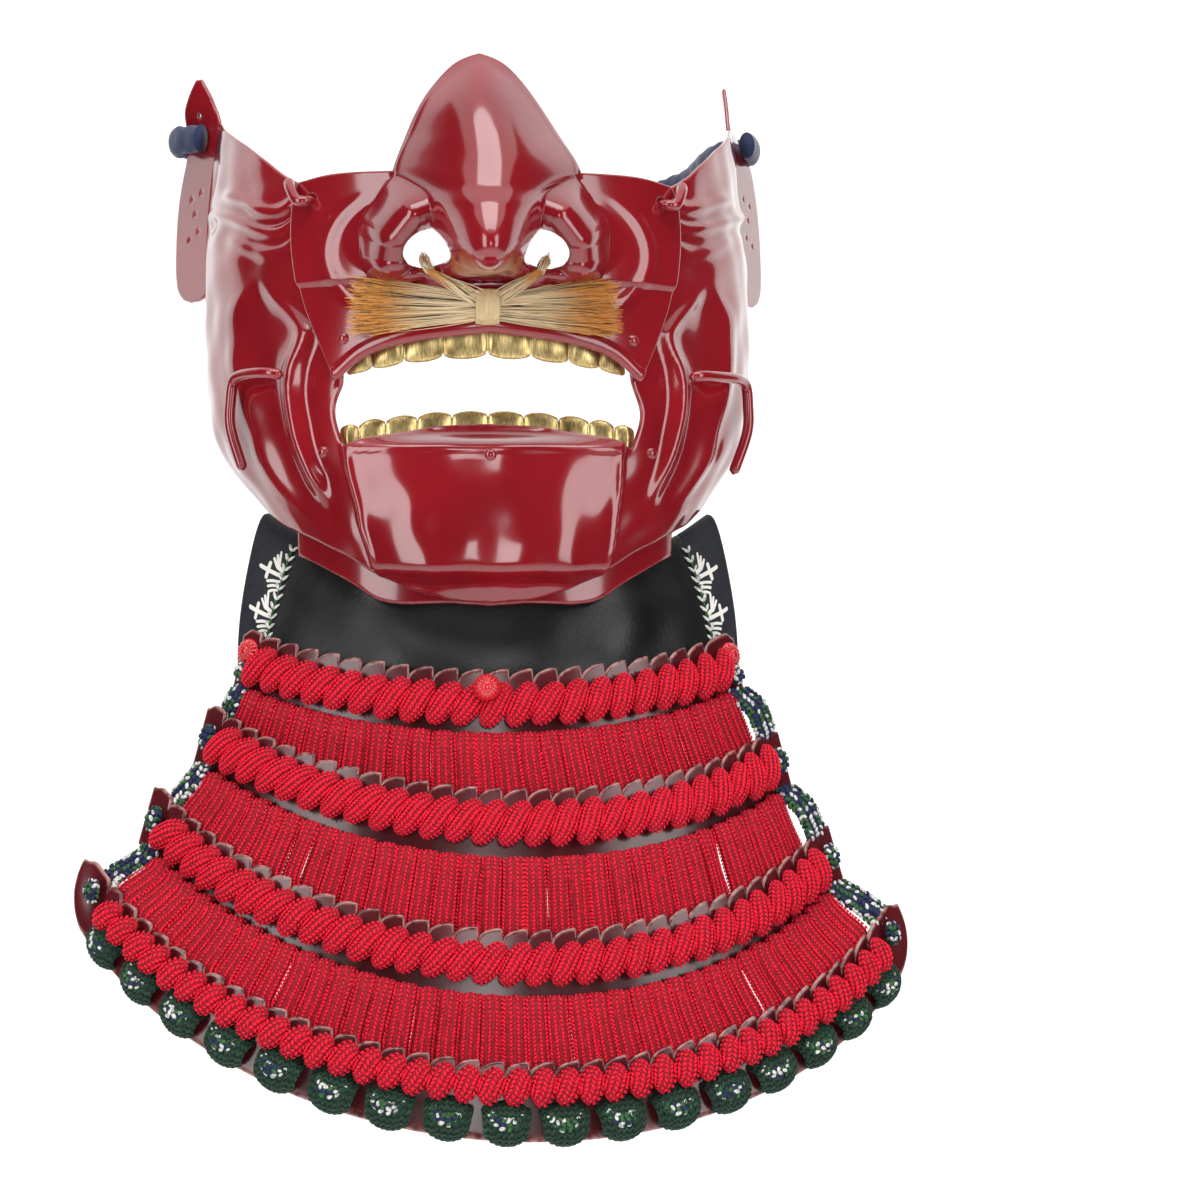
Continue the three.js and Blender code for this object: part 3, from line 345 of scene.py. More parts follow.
def hand_over(made, slot, *nodes):
    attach(made, "root")
    if nodes:
        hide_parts(*nodes)
    count = sum(len(p.vertices) - 2 for p in made.data.polygons)
    print(f"{made.name}: {count} triangles")
    return made


# %% [markdown]
# ## Small words for node trees
# Shader trees and geometry trees are both wired the same way, so three short helpers are
# enough: one that adds a node and fills its sockets, one that mixes two colours, one that
# reckons.

# %% Node helpers
def add(tree, kind, inputs=None, **settings):
    made = tree.nodes.new(kind)
    for key, value in settings.items():
        setattr(made, key, value)
    for key, value in (inputs or {}).items():
        if isinstance(value, bpy.types.NodeSocket):
            tree.links.new(value, made.inputs[key])
        else:
            made.inputs[key].default_value = value
    return made


def blend(tree, share, low, high, mode="MIX"):
    mixed = add(tree, "ShaderNodeMix", {0: share, 6: low, 7: high}, data_type="RGBA", blend_type=mode)
    return mixed.outputs[2]


def reckon(tree, operation, *values):
    return add(tree, "ShaderNodeMath", dict(enumerate(values)), operation=operation).outputs[0]


def mapped(tree, value, low, high, to_low=0.0, to_high=1.0):
    inputs = {0: value, 1: low, 2: high, 3: to_low, 4: to_high}
    return add(tree, "ShaderNodeMapRange", inputs, interpolation_type="SMOOTHSTEP").outputs[0]


def new_tree(name, kind, inputs, outputs):
    """A node group with its sockets named; gives the tree, its input and its output."""
    tree = bpy.data.node_groups.new(name, kind)
    for in_out, sockets in (("INPUT", inputs), ("OUTPUT", outputs)):
        for key, socket_type, value in sockets:
            socket = tree.interface.new_socket(key, in_out=in_out, socket_type=socket_type)
            if value is not None:
                socket.default_value = value
    return tree, tree.nodes.new("NodeGroupInput"), tree.nodes.new("NodeGroupOutput")


NUMBER, COLOUR = "NodeSocketFloat", "NodeSocketColor"

# %% [markdown]
# ## Finish: lacquer in many coats
# Urushi is brushed on in thin coats and polished. Close up it is a little uneven: the colour is
# deeper in some places, the gloss carries a faint ripple, and where an edge has been handled the
# coat is thin and pale. One group gives those three to the mask, the lames and the studs.

# %% Group: lacquer coats
lacquer_coats, come, go = new_tree(
    "lacquer_coats",
    "ShaderNodeTree",
    [
        ("Colour", COLOUR, (0.3, 0.01, 0.02, 1)),
        ("Deep", COLOUR, (0.15, 0.005, 0.01, 1)),
        ("Thin", COLOUR, (0.5, 0.2, 0.18, 1)),
        ("Edge wear", NUMBER, 0.3),
        ("Grit", NUMBER, 0.1),
    ],
    [("Colour", COLOUR, None), ("Roughness", NUMBER, None), ("Height", NUMBER, None)],
)
where = add(lacquer_coats, "ShaderNodeTexCoord").outputs["Object"]
pooled = add(lacquer_coats, "ShaderNodeTexNoise", {"Vector": where, "Scale": 22, "Detail": 3}).outputs[0]
body = blend(lacquer_coats, mapped(lacquer_coats, pooled, 0.35, 0.75), come.outputs["Colour"], come.outputs["Deep"])
specks = add(lacquer_coats, "ShaderNodeTexNoise", {"Vector": where, "Scale": 420, "Detail": 4}).outputs[0]
rim = add(lacquer_coats, "ShaderNodeAttribute", attribute_name="edge").outputs["Fac"]
rubbed = reckon(lacquer_coats, "MULTIPLY", mapped(lacquer_coats, specks, 0.35, 0.6), rim)
rubbed = reckon(lacquer_coats, "MULTIPLY", rubbed, come.outputs["Edge wear"])
lacquer_coats.links.new(blend(lacquer_coats, rubbed, body, come.outputs["Thin"]), go.inputs["Colour"])
dust = add(lacquer_coats, "ShaderNodeTexNoise", {"Vector": where, "Scale": 60, "Detail": 5}).outputs[0]
gritty = reckon(lacquer_coats, "MULTIPLY", mapped(lacquer_coats, dust, 0.4, 0.8), come.outputs["Grit"])
lacquer_coats.links.new(reckon(lacquer_coats, "ADD", gritty, 0.16), go.inputs["Roughness"])
peel = add(lacquer_coats, "ShaderNodeTexNoise", {"Vector": where, "Scale": 240, "Detail": 2}).outputs[0]
lacquer_coats.links.new(peel, go.inputs["Height"])
print("lacquer_coats:", len(lacquer_coats.nodes), "nodes")

# %% [markdown]
# ## Finish: yarn
# Silk braid and wool yarn differ in colour and twist, and share the rest: each stitch has its own shade, fine fibres
# run through it, and painted shade darkens it towards the sides of the cord, where it dives under its neighbour, and on
# the core between stitches. The shade of a stitch, painted shade included, is an attribute that the stitch was placed
# with.

# %% Group: yarn fibres
yarn_fibres, come, go = new_tree(
    "yarn_fibres",
    "ShaderNodeTree",
    [
        ("Colour", COLOUR, (0.5, 0.02, 0.04, 1)),
        ("Dark", COLOUR, (0.1, 0.0, 0.01, 1)),
        ("Light", COLOUR, (0.8, 0.1, 0.12, 1)),
        ("Fineness", NUMBER, 1500),
    ],
    [("Colour", COLOUR, None), ("Height", NUMBER, None)],
)
where = add(yarn_fibres, "ShaderNodeTexCoord").outputs["Object"]
fibres = add(yarn_fibres, "ShaderNodeTexNoise", {"Vector": where, "Scale": come.outputs["Fineness"], "Detail": 3}).outputs[0]
# the stitch's tone: its own random tone, plus painted shade on the cord's sides and on the core for silk and wool
shade = add(yarn_fibres, "ShaderNodeAttribute", attribute_name="shade").outputs["Fac"]
tone = reckon(yarn_fibres, "ADD", shade, reckon(yarn_fibres, "MULTIPLY", reckon(yarn_fibres, "SUBTRACT", fibres, 0.5), 0.9))
low = blend(yarn_fibres, mapped(yarn_fibres, tone, 0.0, 0.5), come.outputs["Dark"], come.outputs["Colour"])
full = blend(yarn_fibres, mapped(yarn_fibres, tone, 0.55, 1.1), low, come.outputs["Light"])
yarn_fibres.links.new(full, go.inputs["Colour"])
yarn_fibres.links.new(fibres, go.inputs["Height"])
print("yarn_fibres:", len(yarn_fibres.nodes), "nodes")


# %% Materials from the two groups
def new_material(name, roughness=0.4, metallic=0.0):
    made = bpy.data.materials.new(name)
    made.use_nodes = True
    shader = made.node_tree.nodes["Principled BSDF"]
    shader.inputs["Roughness"].default_value = roughness
    shader.inputs["Metallic"].default_value = metallic
    return made, made.node_tree, shader


def use_group(tree, group, values):
    used = tree.nodes.new("ShaderNodeGroup")
    used.node_tree = group
    for key, value in values.items():
        used.inputs[key].default_value = value
    return used


def bump(tree, shader, height, strength, depth):
    made = add(tree, "ShaderNodeBump", {"Height": height, "Strength": strength, "Distance": depth * MM})
    tree.links.new(made.outputs[0], shader.inputs["Normal"])


def lacquer(name, colour, deep, thin, wear, grit, coat=1.0, ripple=0.05, coat_roughness=0.09):
    made, tree, shader = new_material(name)
    coats = use_group(tree, lacquer_coats, {
        "Colour": (*colour, 1), "Deep": (*deep, 1), "Thin": (*thin, 1), "Edge wear": wear, "Grit": grit})
    tree.links.new(coats.outputs["Colour"], shader.inputs["Base Color"])
    tree.links.new(coats.outputs["Roughness"], shader.inputs["Roughness"])
    shader.inputs["Coat Weight"].default_value = coat
    shader.inputs["Coat Roughness"].default_value = coat_roughness
    shader.inputs["Coat IOR"].default_value = 1.46
    bump(tree, shader, coats.outputs["Height"], 0.25, ripple)
    return made


def yarn(name, colour, dark, light, fineness=1500, sheen=0.25, roughness=0.75):
    made, tree, shader = new_material(name, roughness)
    fibres = use_group(tree, yarn_fibres, {
        "Colour": (*colour, 1), "Dark": (*dark, 1), "Light": (*light, 1), "Fineness": fineness})
    tree.links.new(fibres.outputs["Colour"], shader.inputs["Base Color"])
    shader.inputs["Sheen Weight"].default_value = sheen
    shader.inputs["Sheen Roughness"].default_value = 0.4
    bump(tree, shader, fibres.outputs["Height"], 0.6, 0.2)
    return made


RED_LACQUER = lacquer("red_lacquer", (0.27, 0.007, 0.014), (0.19, 0.004, 0.009), (0.45, 0.10, 0.10), 0.3, 0.05)
LAME_LACQUER = lacquer(
    "lame_lacquer", (0.10, 0.008, 0.012), (0.07, 0.006, 0.009), (0.6, 0.3, 0.26), 0.6, 0.2, 0.25, coat_roughness=0.3)
STUD_LACQUER = lacquer("stud_lacquer", (0.62, 0.012, 0.02), (0.5, 0.008, 0.012), (0.8, 0.3, 0.25), 0.3, 0.3, coat=0.5)
RED_SILK = yarn("red_silk", (0.90, 0.001, 0.034), (0.24, 0.0, 0.008), (0.98, 0.014, 0.085), sheen=0.0, roughness=0.85)
GREEN_WOOL = yarn("green_wool", (0.010, 0.045, 0.024), (0.002, 0.008, 0.006), (0.03, 0.10, 0.05), 1100, 0.1, 0.9)
print("made", len(bpy.data.materials), "materials")

# %% [markdown]
# ## Geometry Nodes: stitches on points
# A braid is one stitch, over and over, each turned to follow the cord. The tree takes a mesh in
# which the loose points marked "stitch" are the stitches' places, and the rest is the cord's
# core. It sets one small bead on each marked point, turned by the point's own normal and
# direction, and keeps the core beside them.

# %% Tree: stitches
def stitch_tree():
    geometry = "NodeSocketGeometry"
    tree, come, go = new_tree(
        "stitches",
        "GeometryNodeTree",
        [
            ("Geometry", geometry, None),
            ("Length", NUMBER, 1.6 * MM),
            ("Width", NUMBER, 0.9 * MM),
            ("Height", NUMBER, 0.6 * MM),
            ("Unevenness", NUMBER, 0.12),
            ("Seed", "NodeSocketInt", 7),
            ("Sides", "NodeSocketInt", 6),
            ("Material", "NodeSocketMaterial", None),
        ],
        [("Geometry", geometry, None)],
    )
    named = lambda key, kind: add(tree, "GeometryNodeInputNamedAttribute", {"Name": key}, data_type=kind).outputs[0]
    parted = add(
        tree, "GeometryNodeSeparateGeometry",
        {"Geometry": come.outputs["Geometry"], "Selection": named("stitch", "BOOLEAN")}, domain="POINT")
    bead = add(tree, "GeometryNodeMeshUVSphere", {"Segments": come.outputs["Sides"], "Rings": 4, "Radius": 0.5})
    bead = add(tree, "GeometryNodeSetShadeSmooth", {"Geometry": bead.outputs["Mesh"]})
    stand = add(tree, "FunctionNodeAlignRotationToVector", {"Vector": named("outward", "FLOAT_VECTOR")}, axis="Z")
    turned = add(
        tree, "FunctionNodeAlignRotationToVector",
        {"Rotation": stand.outputs[0], "Vector": named("along", "FLOAT_VECTOR")}, axis="X", pivot_axis="Z")
    spread = reckon(tree, "MULTIPLY", come.outputs["Unevenness"], 1.0)
    low = reckon(tree, "SUBTRACT", 1.0, spread)
    high = reckon(tree, "ADD", 1.0, spread)
    uneven = add(tree, "FunctionNodeRandomValue", {2: low, 3: high, "Seed": come.outputs["Seed"]}, data_type="FLOAT")
    own = reckon(tree, "MULTIPLY", uneven.outputs[1], named("size", "FLOAT"))
    sizes = [reckon(tree, "MULTIPLY", come.outputs[key], own) for key in ("Length", "Width", "Height")]
    scale = add(tree, "ShaderNodeCombineXYZ", dict(enumerate(sizes)))
    beads = add(
        tree, "GeometryNodeInstanceOnPoints",
        {"Points": parted.outputs["Selection"], "Instance": bead.outputs[0],
         "Rotation": turned.outputs[0], "Scale": scale.outputs[0]})
    real = add(tree, "GeometryNodeRealizeInstances", {"Geometry": beads.outputs[0]})
    both = add(tree, "GeometryNodeJoinGeometry")
    tree.links.new(real.outputs[0], both.inputs[0])
    tree.links.new(parted.outputs["Inverted"], both.inputs[0])
    dressed = add(
        tree, "GeometryNodeSetMaterial",
        {"Geometry": both.outputs[0], "Material": come.outputs["Material"]})
    tree.links.new(dressed.outputs[0], go.inputs[0])
    return tree


STITCHES = stitch_tree()


def through_tree(made, tree, **values):
    """Runs the object through a geometry tree and keeps the result as a plain mesh."""
    modifier = made.modifiers.new("build", "NODES")
    modifier.node_group = tree
    names = {s.name: s.identifier for s in tree.interface.items_tree if s.in_out == "INPUT"}
    for key, value in values.items():
        modifier[names[key.replace("_", " ")]] = value
    whole = made.evaluated_get(bpy.context.evaluated_depsgraph_get())
    mesh = bpy.data.meshes.new_from_object(whole)
    made.modifiers.clear()
    made.data = mesh
    return made


def stitched(name, core, places, material, length, width, height, seed=7, sides=6, unevenness=0.12):
    """A core mesh with a bead on each place. places holds point, outward, along, size, shade."""
    points, quads, core_tone_and_painted_shade = core
    count, beads = len(points), len(places["point"])
    both = np.concatenate([points, places["point"]])
    pad = np.zeros((count, 3))
    # the core's tone: on the silk and wool braids a low value paints the core dark, painted shade in the gaps between
    # stitches; on the mixed braids it picks the core's colour
    fields = {
        "stitch": ("BOOLEAN", np.r_[np.zeros(count, bool), np.ones(beads, bool)]),
        "outward": ("FLOAT_VECTOR", np.concatenate([pad, places["outward"]])),
        "along": ("FLOAT_VECTOR", np.concatenate([pad, places["along"]])),
        "size": ("FLOAT", np.r_[np.ones(count), places["size"]]),
        "shade": ("FLOAT", np.r_[np.broadcast_to(core_tone_and_painted_shade, count), places["shade"]]),
    }
    made = make_object(name, both, quads, material, fields)
    return through_tree(
        made, STITCHES, Length=length * MM, Width=width * MM, Height=height * MM,
        Unevenness=unevenness, Seed=seed, Sides=sides, Material=material)


def gather(*parts):
    """Joins several (points, quads) into one, with each part's own number for its points."""
    points, quads, start = [], [], 0
    for p, q in parts:
        points.append(p)
        quads.append(q + start)
        start += len(p)
    return np.concatenate(points), np.concatenate(quads)


def join_places(parts):
    return {key: np.concatenate([p[key] for p in parts]) for key in parts[0]}


# %% [markdown]
# ## Braids
# Every braid on the guard is a soft oval cord. Its core is a loft of ovals along a path, and its
# stitches sit on the core in upright columns, slanted one way and then the other, which is the
# row of little Vs that a knitted or plaited cord shows.

# %% A cord's core and its stitches
def cord_frame(path, outward):
    """Directions along, across and out of a cord whose path and rough outward side are given."""
    along = unit(np.gradient(path, axis=0))
    across = unit(np.cross(along, outward))
    return along, across, unit(np.cross(across, along))


def oval_core(path, across, out, wide, deep, sides=10):
    """Ovals along a path; wide and deep are half sizes at each step. The ends are closed."""
    angle = np.linspace(0, 2 * math.pi, sides, endpoint=False)
    ring = np.cos(angle)[None, :, None] * across[:, None] * wide[:, None, None]
    ring = ring + np.sin(angle)[None, :, None] * out[:, None] * deep[:, None, None]
    points = (path[:, None] + ring).reshape(-1, 3)
    rows, index = len(path), np.arange(len(path) * sides).reshape(len(path), sides)
    nxt = np.roll(index, -1, axis=1)
    quads = np.stack([index[:-1], nxt[:-1], nxt[1:], index[1:]], -1).reshape(-1, 4)
    half = sides // 2
    caps = []
    for row, turn in ((0, 1), (rows - 1, -1)):
        loop = index[row]
        for k in range(half - 1):
            cap = [loop[k], loop[sides - 1 - k], loop[sides - 2 - k], loop[k + 1]]
            caps.append(cap[::turn])
    return points, np.concatenate([quads, np.array(caps)])


def braid(path, outward, wide, deep, pitch, columns, slant=0.6, fan=75, shade=0.5, rng=None):
    """Core and stitch places of one braid. The stitches cover the side that looks outward."""
    along, across, out = cord_frame(path, outward)
    core = oval_core(path, across, out, wide * 0.88, deep * 0.88)
    run = np.concatenate([[0], np.cumsum(np.linalg.norm(np.diff(path, axis=0), axis=1))])
    rows = max(2, int(run[-1] / pitch))
    places = {key: [] for key in ("point", "outward", "along", "size", "shade")}
    turns = np.radians(np.linspace(90 - fan, 90 + fan, columns))
    for column, turn in enumerate(turns):
        at = (np.arange(rows) + 0.5) / rows * run[-1]
        here = np.stack([np.interp(at, run, path[:, k]) for k in range(3)], -1)
        ac, ou, al = (np.stack([np.interp(at, run, f[:, k]) for k in range(3)], -1) for f in (across, out, along))
        w, d = np.interp(at, run, wide), np.interp(at, run, deep)
        side = np.cos(turn)
        rise = np.sin(turn)
        places["point"].append(here + ac * (w * side)[:, None] + ou * (d * rise)[:, None])
        places["outward"].append(unit(ac * (side / w)[:, None] + ou * (rise / d)[:, None]))
        lean = slant if column % 2 else -slant
        skin = unit(-ac * (w * rise)[:, None] + ou * (d * side)[:, None])
        places["along"].append(unit(al * math.cos(lean) + skin * math.sin(lean)))
        places["size"].append(np.clip(w / max(wide.max(), 1e-6), 0.45, 1))
        # painted shade: the stitch is darker towards the cord's sides, where it turns away and dives under its
        # neighbour, and a little lighter on the crown; the random part is each stitch's own tone
        tone_and_painted_shade = shade + 0.32 * (rise - 0.75) + (rng.normal(0, 0.08, rows) if rng is not None else 0)
        places["shade"].append(np.broadcast_to(tone_and_painted_shade, rows))
    return core, {key: np.concatenate(value) for key, value in places.items()}


print("braids, stitches and sheets are ready")

# %% [markdown]
# ## Outlines in the flat map
# The shell is cut like a paper pattern: outlines in a and z, and patches stretched between four
# of them. Two patches make each half: a belt of chin and jaw, and the cheek above it. They share
# their edge, so the plate stays one sheet.

# %% Outlines and patches
JAW_RIM = table(
    "at a z", (0, 0, -28.5), (0.15, 20, -27), (0.34, 46, -20.3), (0.45, 60, -14.8), (0.58, 79, -9.6),
    (0.72, 99, -5.8), (0.82, 114, 1), (0.92, 129, 17), (1, 137, 38))
LOWER_LIP = table("at a z", (0, 0, 21.5), (0.4, 17.6, 20.6), (0.8, 35.2, 17.4), (1, 44, 14.3))
WAIST = table("at a z", (0, 44, 14.3), (0.35, 78, 21), (0.7, 112, 34), (1, REAR, 50))
MOUTH_SIDE = table(
    "at a z", (0, 44, 14.3), (0.15, 46.8, 25.7), (0.28, 43.2, 35), (0.42, 42.6, 45), (0.6, 46.5, 58),
    (0.8, 50, 74), (1, 51, 90.4))
CHEEK_TOP = table(
    "at a z", (0, 51, 90.4), (0.1, 60, 91.3), (0.22, 70, 95.6), (0.33, 80, 101.2), (0.5, 95, 108),
    (0.84, 126, 118.6), (1, REAR, 121))
MOUTH_CORNER = 0.34


def outline(rows, at):
    return np.stack([smooth(rows, "at", "a", at), smooth(rows, "at", "z", at)], -1)


def patch(bottom, top, left, right, s, v):
    """A sheet between four outlines that meet at their corners."""
    zero, one = np.zeros_like(s), np.ones_like(s)
    ends = mix(mix(bottom(zero), bottom(one), s[:, None]), mix(top(zero), top(one), s[:, None]), v[:, None])
    return mix(bottom(s), top(s), v[:, None]) + mix(left(v), right(v), s[:, None]) - ends


def straight(start, end):
    return lambda v: mix(np.array(start, float), np.array(end, float), v[:, None])


def weld(points, quads, near=1e-3):
    """Merges points that lie on each other."""
    key = np.round(points / near).astype(np.int64)
    _, first, place = np.unique(key, axis=0, return_index=True, return_inverse=True)
    return first, place.ravel()[quads]


def flat_half():
    """Half of the shell's pattern, in a and z, and its quads."""
    corner = outline(JAW_RIM, np.array([MOUTH_CORNER]))[0]
    parts = []
    s, v, quads = grid(56, 52)
    chin = patch(
        lambda t: outline(JAW_RIM, t * MOUTH_CORNER), lambda t: outline(LOWER_LIP, t),
        straight((0, -28.5), (0, 21.5)), straight(corner, (44, 14.3)), s, v)
    parts.append((chin, quads))
    s, v, quads = grid(96, 52)
    jaw = patch(
        lambda t: outline(JAW_RIM, mix(MOUTH_CORNER, 1, t)), lambda t: outline(WAIST, t),
        straight(corner, (44, 14.3)), straight((137, 38), (REAR, 50)), s, v)
    parts.append((jaw, quads))
    s, v, quads = grid(96, 84)
    cheek = patch(
        lambda t: outline(WAIST, t), lambda t: outline(CHEEK_TOP, t),
        lambda t: outline(MOUTH_SIDE, t), straight((REAR, 50), (REAR, 121)), s, v)
    parts.append((cheek, quads))
    flat, quads = gather(*parts)
    first, quads = weld(flat, quads)
    return flat[first], quads


flat_right, flat_quads = flat_half()
print("half the shell's pattern:", len(flat_quads), "quads")

# %% [markdown]
# ## Relief hammered into the shell
# The relief is where the character is: a chin box with crisp edges, the ledge of the lower lip,
# a leaf-shaped hollow at each side of the mouth between two crests, and fine smile wrinkles that
# fan out to the ear. Each is a ridge along a short table of places.

# %% Relief of the shell
CHIN_EDGE = {
    -1: table("z a", (-26, 46.4), (-13, 46.4), (-8.3, 46.6), (-2, 45.2), (5.8, 44.7), (14.6, 44.1), (24, 44)),
    1: table("z a", (-26, 48.6), (-14, 47.9), (-5.3, 45.5), (3.2, 43.2), (8.9, 41.6), (15.4, 40.9), (24, 41)),
}
LEAF_INNER = table(
    "z a crest", (-8, 60.5, 0), (-2, 60, 0), (8, 59.2, 1.6), (20, 60.2, 2.6), (30, 61.8, 2.8), (38, 60.8, 2.6),
    (48, 57, 1.7), (54, 62, 1.0), (60, 70, 0.5), (67, 77, 0), (80, 84, 0))
LEAF_OUTER = table(
    "z a crest", (-8, 76, 0), (-1, 77, 0.5), (7, 80, 0.8), (19, 80.5, 1), (31, 84, 1.1), (43, 88, 1.1),
    (53, 89, 0.9), (60, 86, 0.6), (67, 79, 0), (80, 79, 0))
WRINKLES = {
    -1: (
        table("a z", (59, 91.1), (63, 87.2), (66.4, 85.1), (72.2, 84.8), (79.8, 86.5), (87.5, 90), (98.5, 92.7), (114.4, 94.3)),
        table("a z", (58.6, 84.3), (63.5, 80.4), (69.8, 78.9), (78.1, 80.1), (86.7, 83), (97.4, 86.2), (116, 89.6), (134, 89.3)),
        table("a z", (58, 77.6), (64, 73.6), (71, 72.4), (80, 74.2), (90, 77.6), (104, 81.4)),
    ),
    1: (
        table("a z", (57.3, 89), (60.8, 87.3), (67.8, 86.5), (77.4, 88.4), (89.8, 91.9), (110.4, 95.6)),
        table("a z", (56.9, 84.7), (61.3, 82.1), (68.4, 81), (79.3, 82.5), (94.2, 86.1), (140, 94.5)),
        table("a z", (57, 78.4), (63, 74.4), (70, 73.2), (80, 75.4), (92, 79.6), (106, 83.6)),
    ),
}


def lip_shelf(a):
    return 10.5 * np.maximum(0, 1 - (a / 43) ** 2)


def shell_relief(a, z):
    side, sign = np.abs(a), np.where(a < 0, -1, 1)
    pick = lambda rows, key: np.where(sign < 0, smooth(rows[-1], "z", key, z), smooth(rows[1], "z", key, z))
    edge = pick(CHIN_EDGE, "a")
    chin = 2.9 * (1 - ease(edge - 2.2, edge + 0.7, side)) * ease(-24, -17.5, z)
    chin = chin + 0.5 * hump(side - edge + 2.6, 1.3) * ease(-20, -14, z) * (1 - ease(10, 15, z))
    jut = 4 * (1 - ease(20, 46, side)) * ease(-30, -18, z) * (1 - ease(-20, 16, z))
    shelf = lip_shelf(side) * ease(14.8, 20.4, z)
    bead = 0.55 * hump(z - 14.2, 1.1) * (1 - ease(38, 44, side))
    cushion = 1.5 * ease(58, 100, side) * (1 - ease(116, 136, side)) * ease(2, 40, z) * (1 - ease(72, 92, z))
    inner, outer = smooth(LEAF_INNER, "z", "a", z), smooth(LEAF_OUTER, "z", "a", z)
    crest = smooth(LEAF_INNER, "z", "crest", z)
    off = side - inner
    ridge = crest * np.where(off < 0, hump(off, 2.7), hump(off, 4.2))
    flank = -0.6 * crest / 2.6 * hump(off + 5.4, 2.2)
    width = np.maximum(outer - inner, 4)
    inside = np.clip((side - inner) / width, 0, 1)
    leaf = ease(-6, 4, z) * (1 - ease(56, 66, z))
    hollow = -1.9 * np.sin(math.pi * inside) ** 1.5 * leaf
    brink = smooth(LEAF_OUTER, "z", "crest", z) * hump(side - outer - 2, 5) * leaf
    relief = chin + jut - shelf + bead + cushion + ridge + flank + hollow + brink
    for hand, lines in WRINKLES.items():
        for k, rows in enumerate(lines):
            height, width = ((1.5, 1.9), (1.3, 1.8), (0.7, 2.2))[k]
            low, high = rows["a"][0], rows["a"][-1]
            fade = ease(low - 1, low + 8, side) * (1 - ease(high - 20, high, side))
            line = smooth(rows, "a", "z", side)
            drop = z - line
            fold = height * hump(drop, width) - 0.45 * height * hump(drop + 3.6, 2.2)
            relief = relief + np.where(sign == hand, fold * fade, 0)
    return relief - 0.9 * hump(np.hypot(a + 54, z - 6.8), 3.2)


def hammered(a, z):
    """Faint unevenness of a hand-raised plate."""
    waves = ((0.13, 0.21, 0.6), (0.29, -0.17, 2.1), (-0.23, 0.35, 4.0), (0.41, 0.11, 5.2), (0.07, -0.43, 1.3))
    return 0.09 * sum(np.sin(p * a + q * z + r) for p, q, r in waves)


print("relief at the mouth's corner:", round(float(shell_relief(np.array([60.0]), np.array([30.0]))[0]), 2), "mm")

# %% [markdown]
# ## The ear flanges
# A flange is turned out from the rear edge of each cheek, with a pair of rows of lacing holes
# for the padded strap.

# %% Ears, and the whole shell
IRON, GAP = 1.3, 0.3
EAR = table(
    "z inner outer", (66.3, 5, 11), (67.6, -0.6, 16), (72, -0.6, 20.4), (85, -0.6, 22), (100, -0.6, 22),
    (111, -0.6, 20), (120, -0.6, 16.6), (126, 2.4, 15.8), (131, 4.8, 12.6), (135.5, 7.6, 9.4))
EAR_TURN = {-1: (29, 54), 1: (24, 0)}
EAR_HOLES = ((6.5, 88), (12.5, 86), (9.5, 94), (6.5, 100.5), (13, 99), (9.5, 125), (12.4, 121.6))


def ear(sign):
    s, v, quads = grid(28, 90)
    z = mix(EAR["z"][0], EAR["z"][-1], v**1.1)
    reach = mix(smooth(EAR, "z", "inner", z), smooth(EAR, "z", "outer", z), s)
    for centre in EAR_HOLES:
        quads = cut_hole(reach, z, quads, centre, 1.15, 1.15)
    low, tip = EAR_TURN[sign]
    turn = np.radians(mix(low, tip, ease(110, 136, z)))
    away = vec(sign * np.sin(turn) * reach, np.cos(turn) * reach, 0)
    points = face_point(np.full_like(z, sign * REAR), z) + away
    return plate(points, quads if sign > 0 else quads[:, ::-1], IRON / 2, IRON / 2)


def shell():
    flat = np.concatenate([flat_right, flat_right * [-1, 1]])
    quads = np.concatenate([flat_quads, flat_quads[:, ::-1] + len(flat_right)])
    first, quads = weld(flat, quads)
    a, z = flat[first].T
    points = off_face(a, z, shell_relief(a, z) + hammered(a, z))
    parts = [plate(points, quads, 0, IRON), ear(-1), ear(1)]
    points, quads = gather(*[(p, q) for p, q, e in parts])
    return points, quads, np.concatenate([e for p, q, e in parts])


points, quads, edge = shell()
mask = make_object("mask_plate", points, quads, RED_LACQUER, {"edge": ("FLOAT", edge)})
hand_over(mask, "lacquer", "mask_shell")

# %% [markdown]
# ## The nose piece
# It is a separate plate that hooks on to the cheeks, raised far out for the nose. The relief is
# a ridge with a round back, and an arch of bosses for the wing of each nostril. The nostrils and
# the hook holes are cut through.

# %% Outlines and relief of the nose piece
PLATE_LIP = table("at a z", (0, 0, 47.6), (0.5, 23, 44.6), (0.8, 35.5, 40.8), (1, 44, 34.6))
PLATE_SIDE = table(
    "at a z", (0, 44, 34.6), (0.12, 47.6, 41.4), (0.4, 55.4, 57.6), (0.68, 58.9, 72.4), (0.9, 59, 85), (1, 57, 90.6))
PLATE_WING = table("at a z", (0, 26, 91.6), (0.6, 45, 91.9), (1, 57, 90.6))
NOSE_OUTLINE = table(
    "at a z", (0, 0, 124.6), (0.2, 7, 121.6), (0.4, 12.8, 115.6), (0.62, 18.4, 106.8), (0.82, 22.8, 98.4), (1, 26, 91.6))
NOSE_SHARE = 0.52
NOSE = table(
    "z out half", (61, 0, 12), (66, 17, 13), (70, 29, 14.5), (75, 36, 16.5), (80, 36.5, 18), (86, 32.5, 21),
    (92, 27.5, 26), (102, 20.5, 21.6), (112, 13, 16.4), (120, 5.5, 9.4), (124.6, 0, 4))
NOSE_ROUND, NOSE_DROOP, NOSE_FOOT, NOSE_TOP = 0.4, 0.3, -1.4, -2.8
NOSTRIL_WING = ((12, 84, 13, 9.6), (20, 82, 16, 10), (25, 75.5, 14, 9.4), (25.4, 68, 9.5, 8.6), (22, 63, 4.5, 7.4))


def soft_max(p, q, width):
    share = np.maximum(0, 1 - np.abs(p - q) / width)
    return np.maximum(p, q) + share * share * width / 4


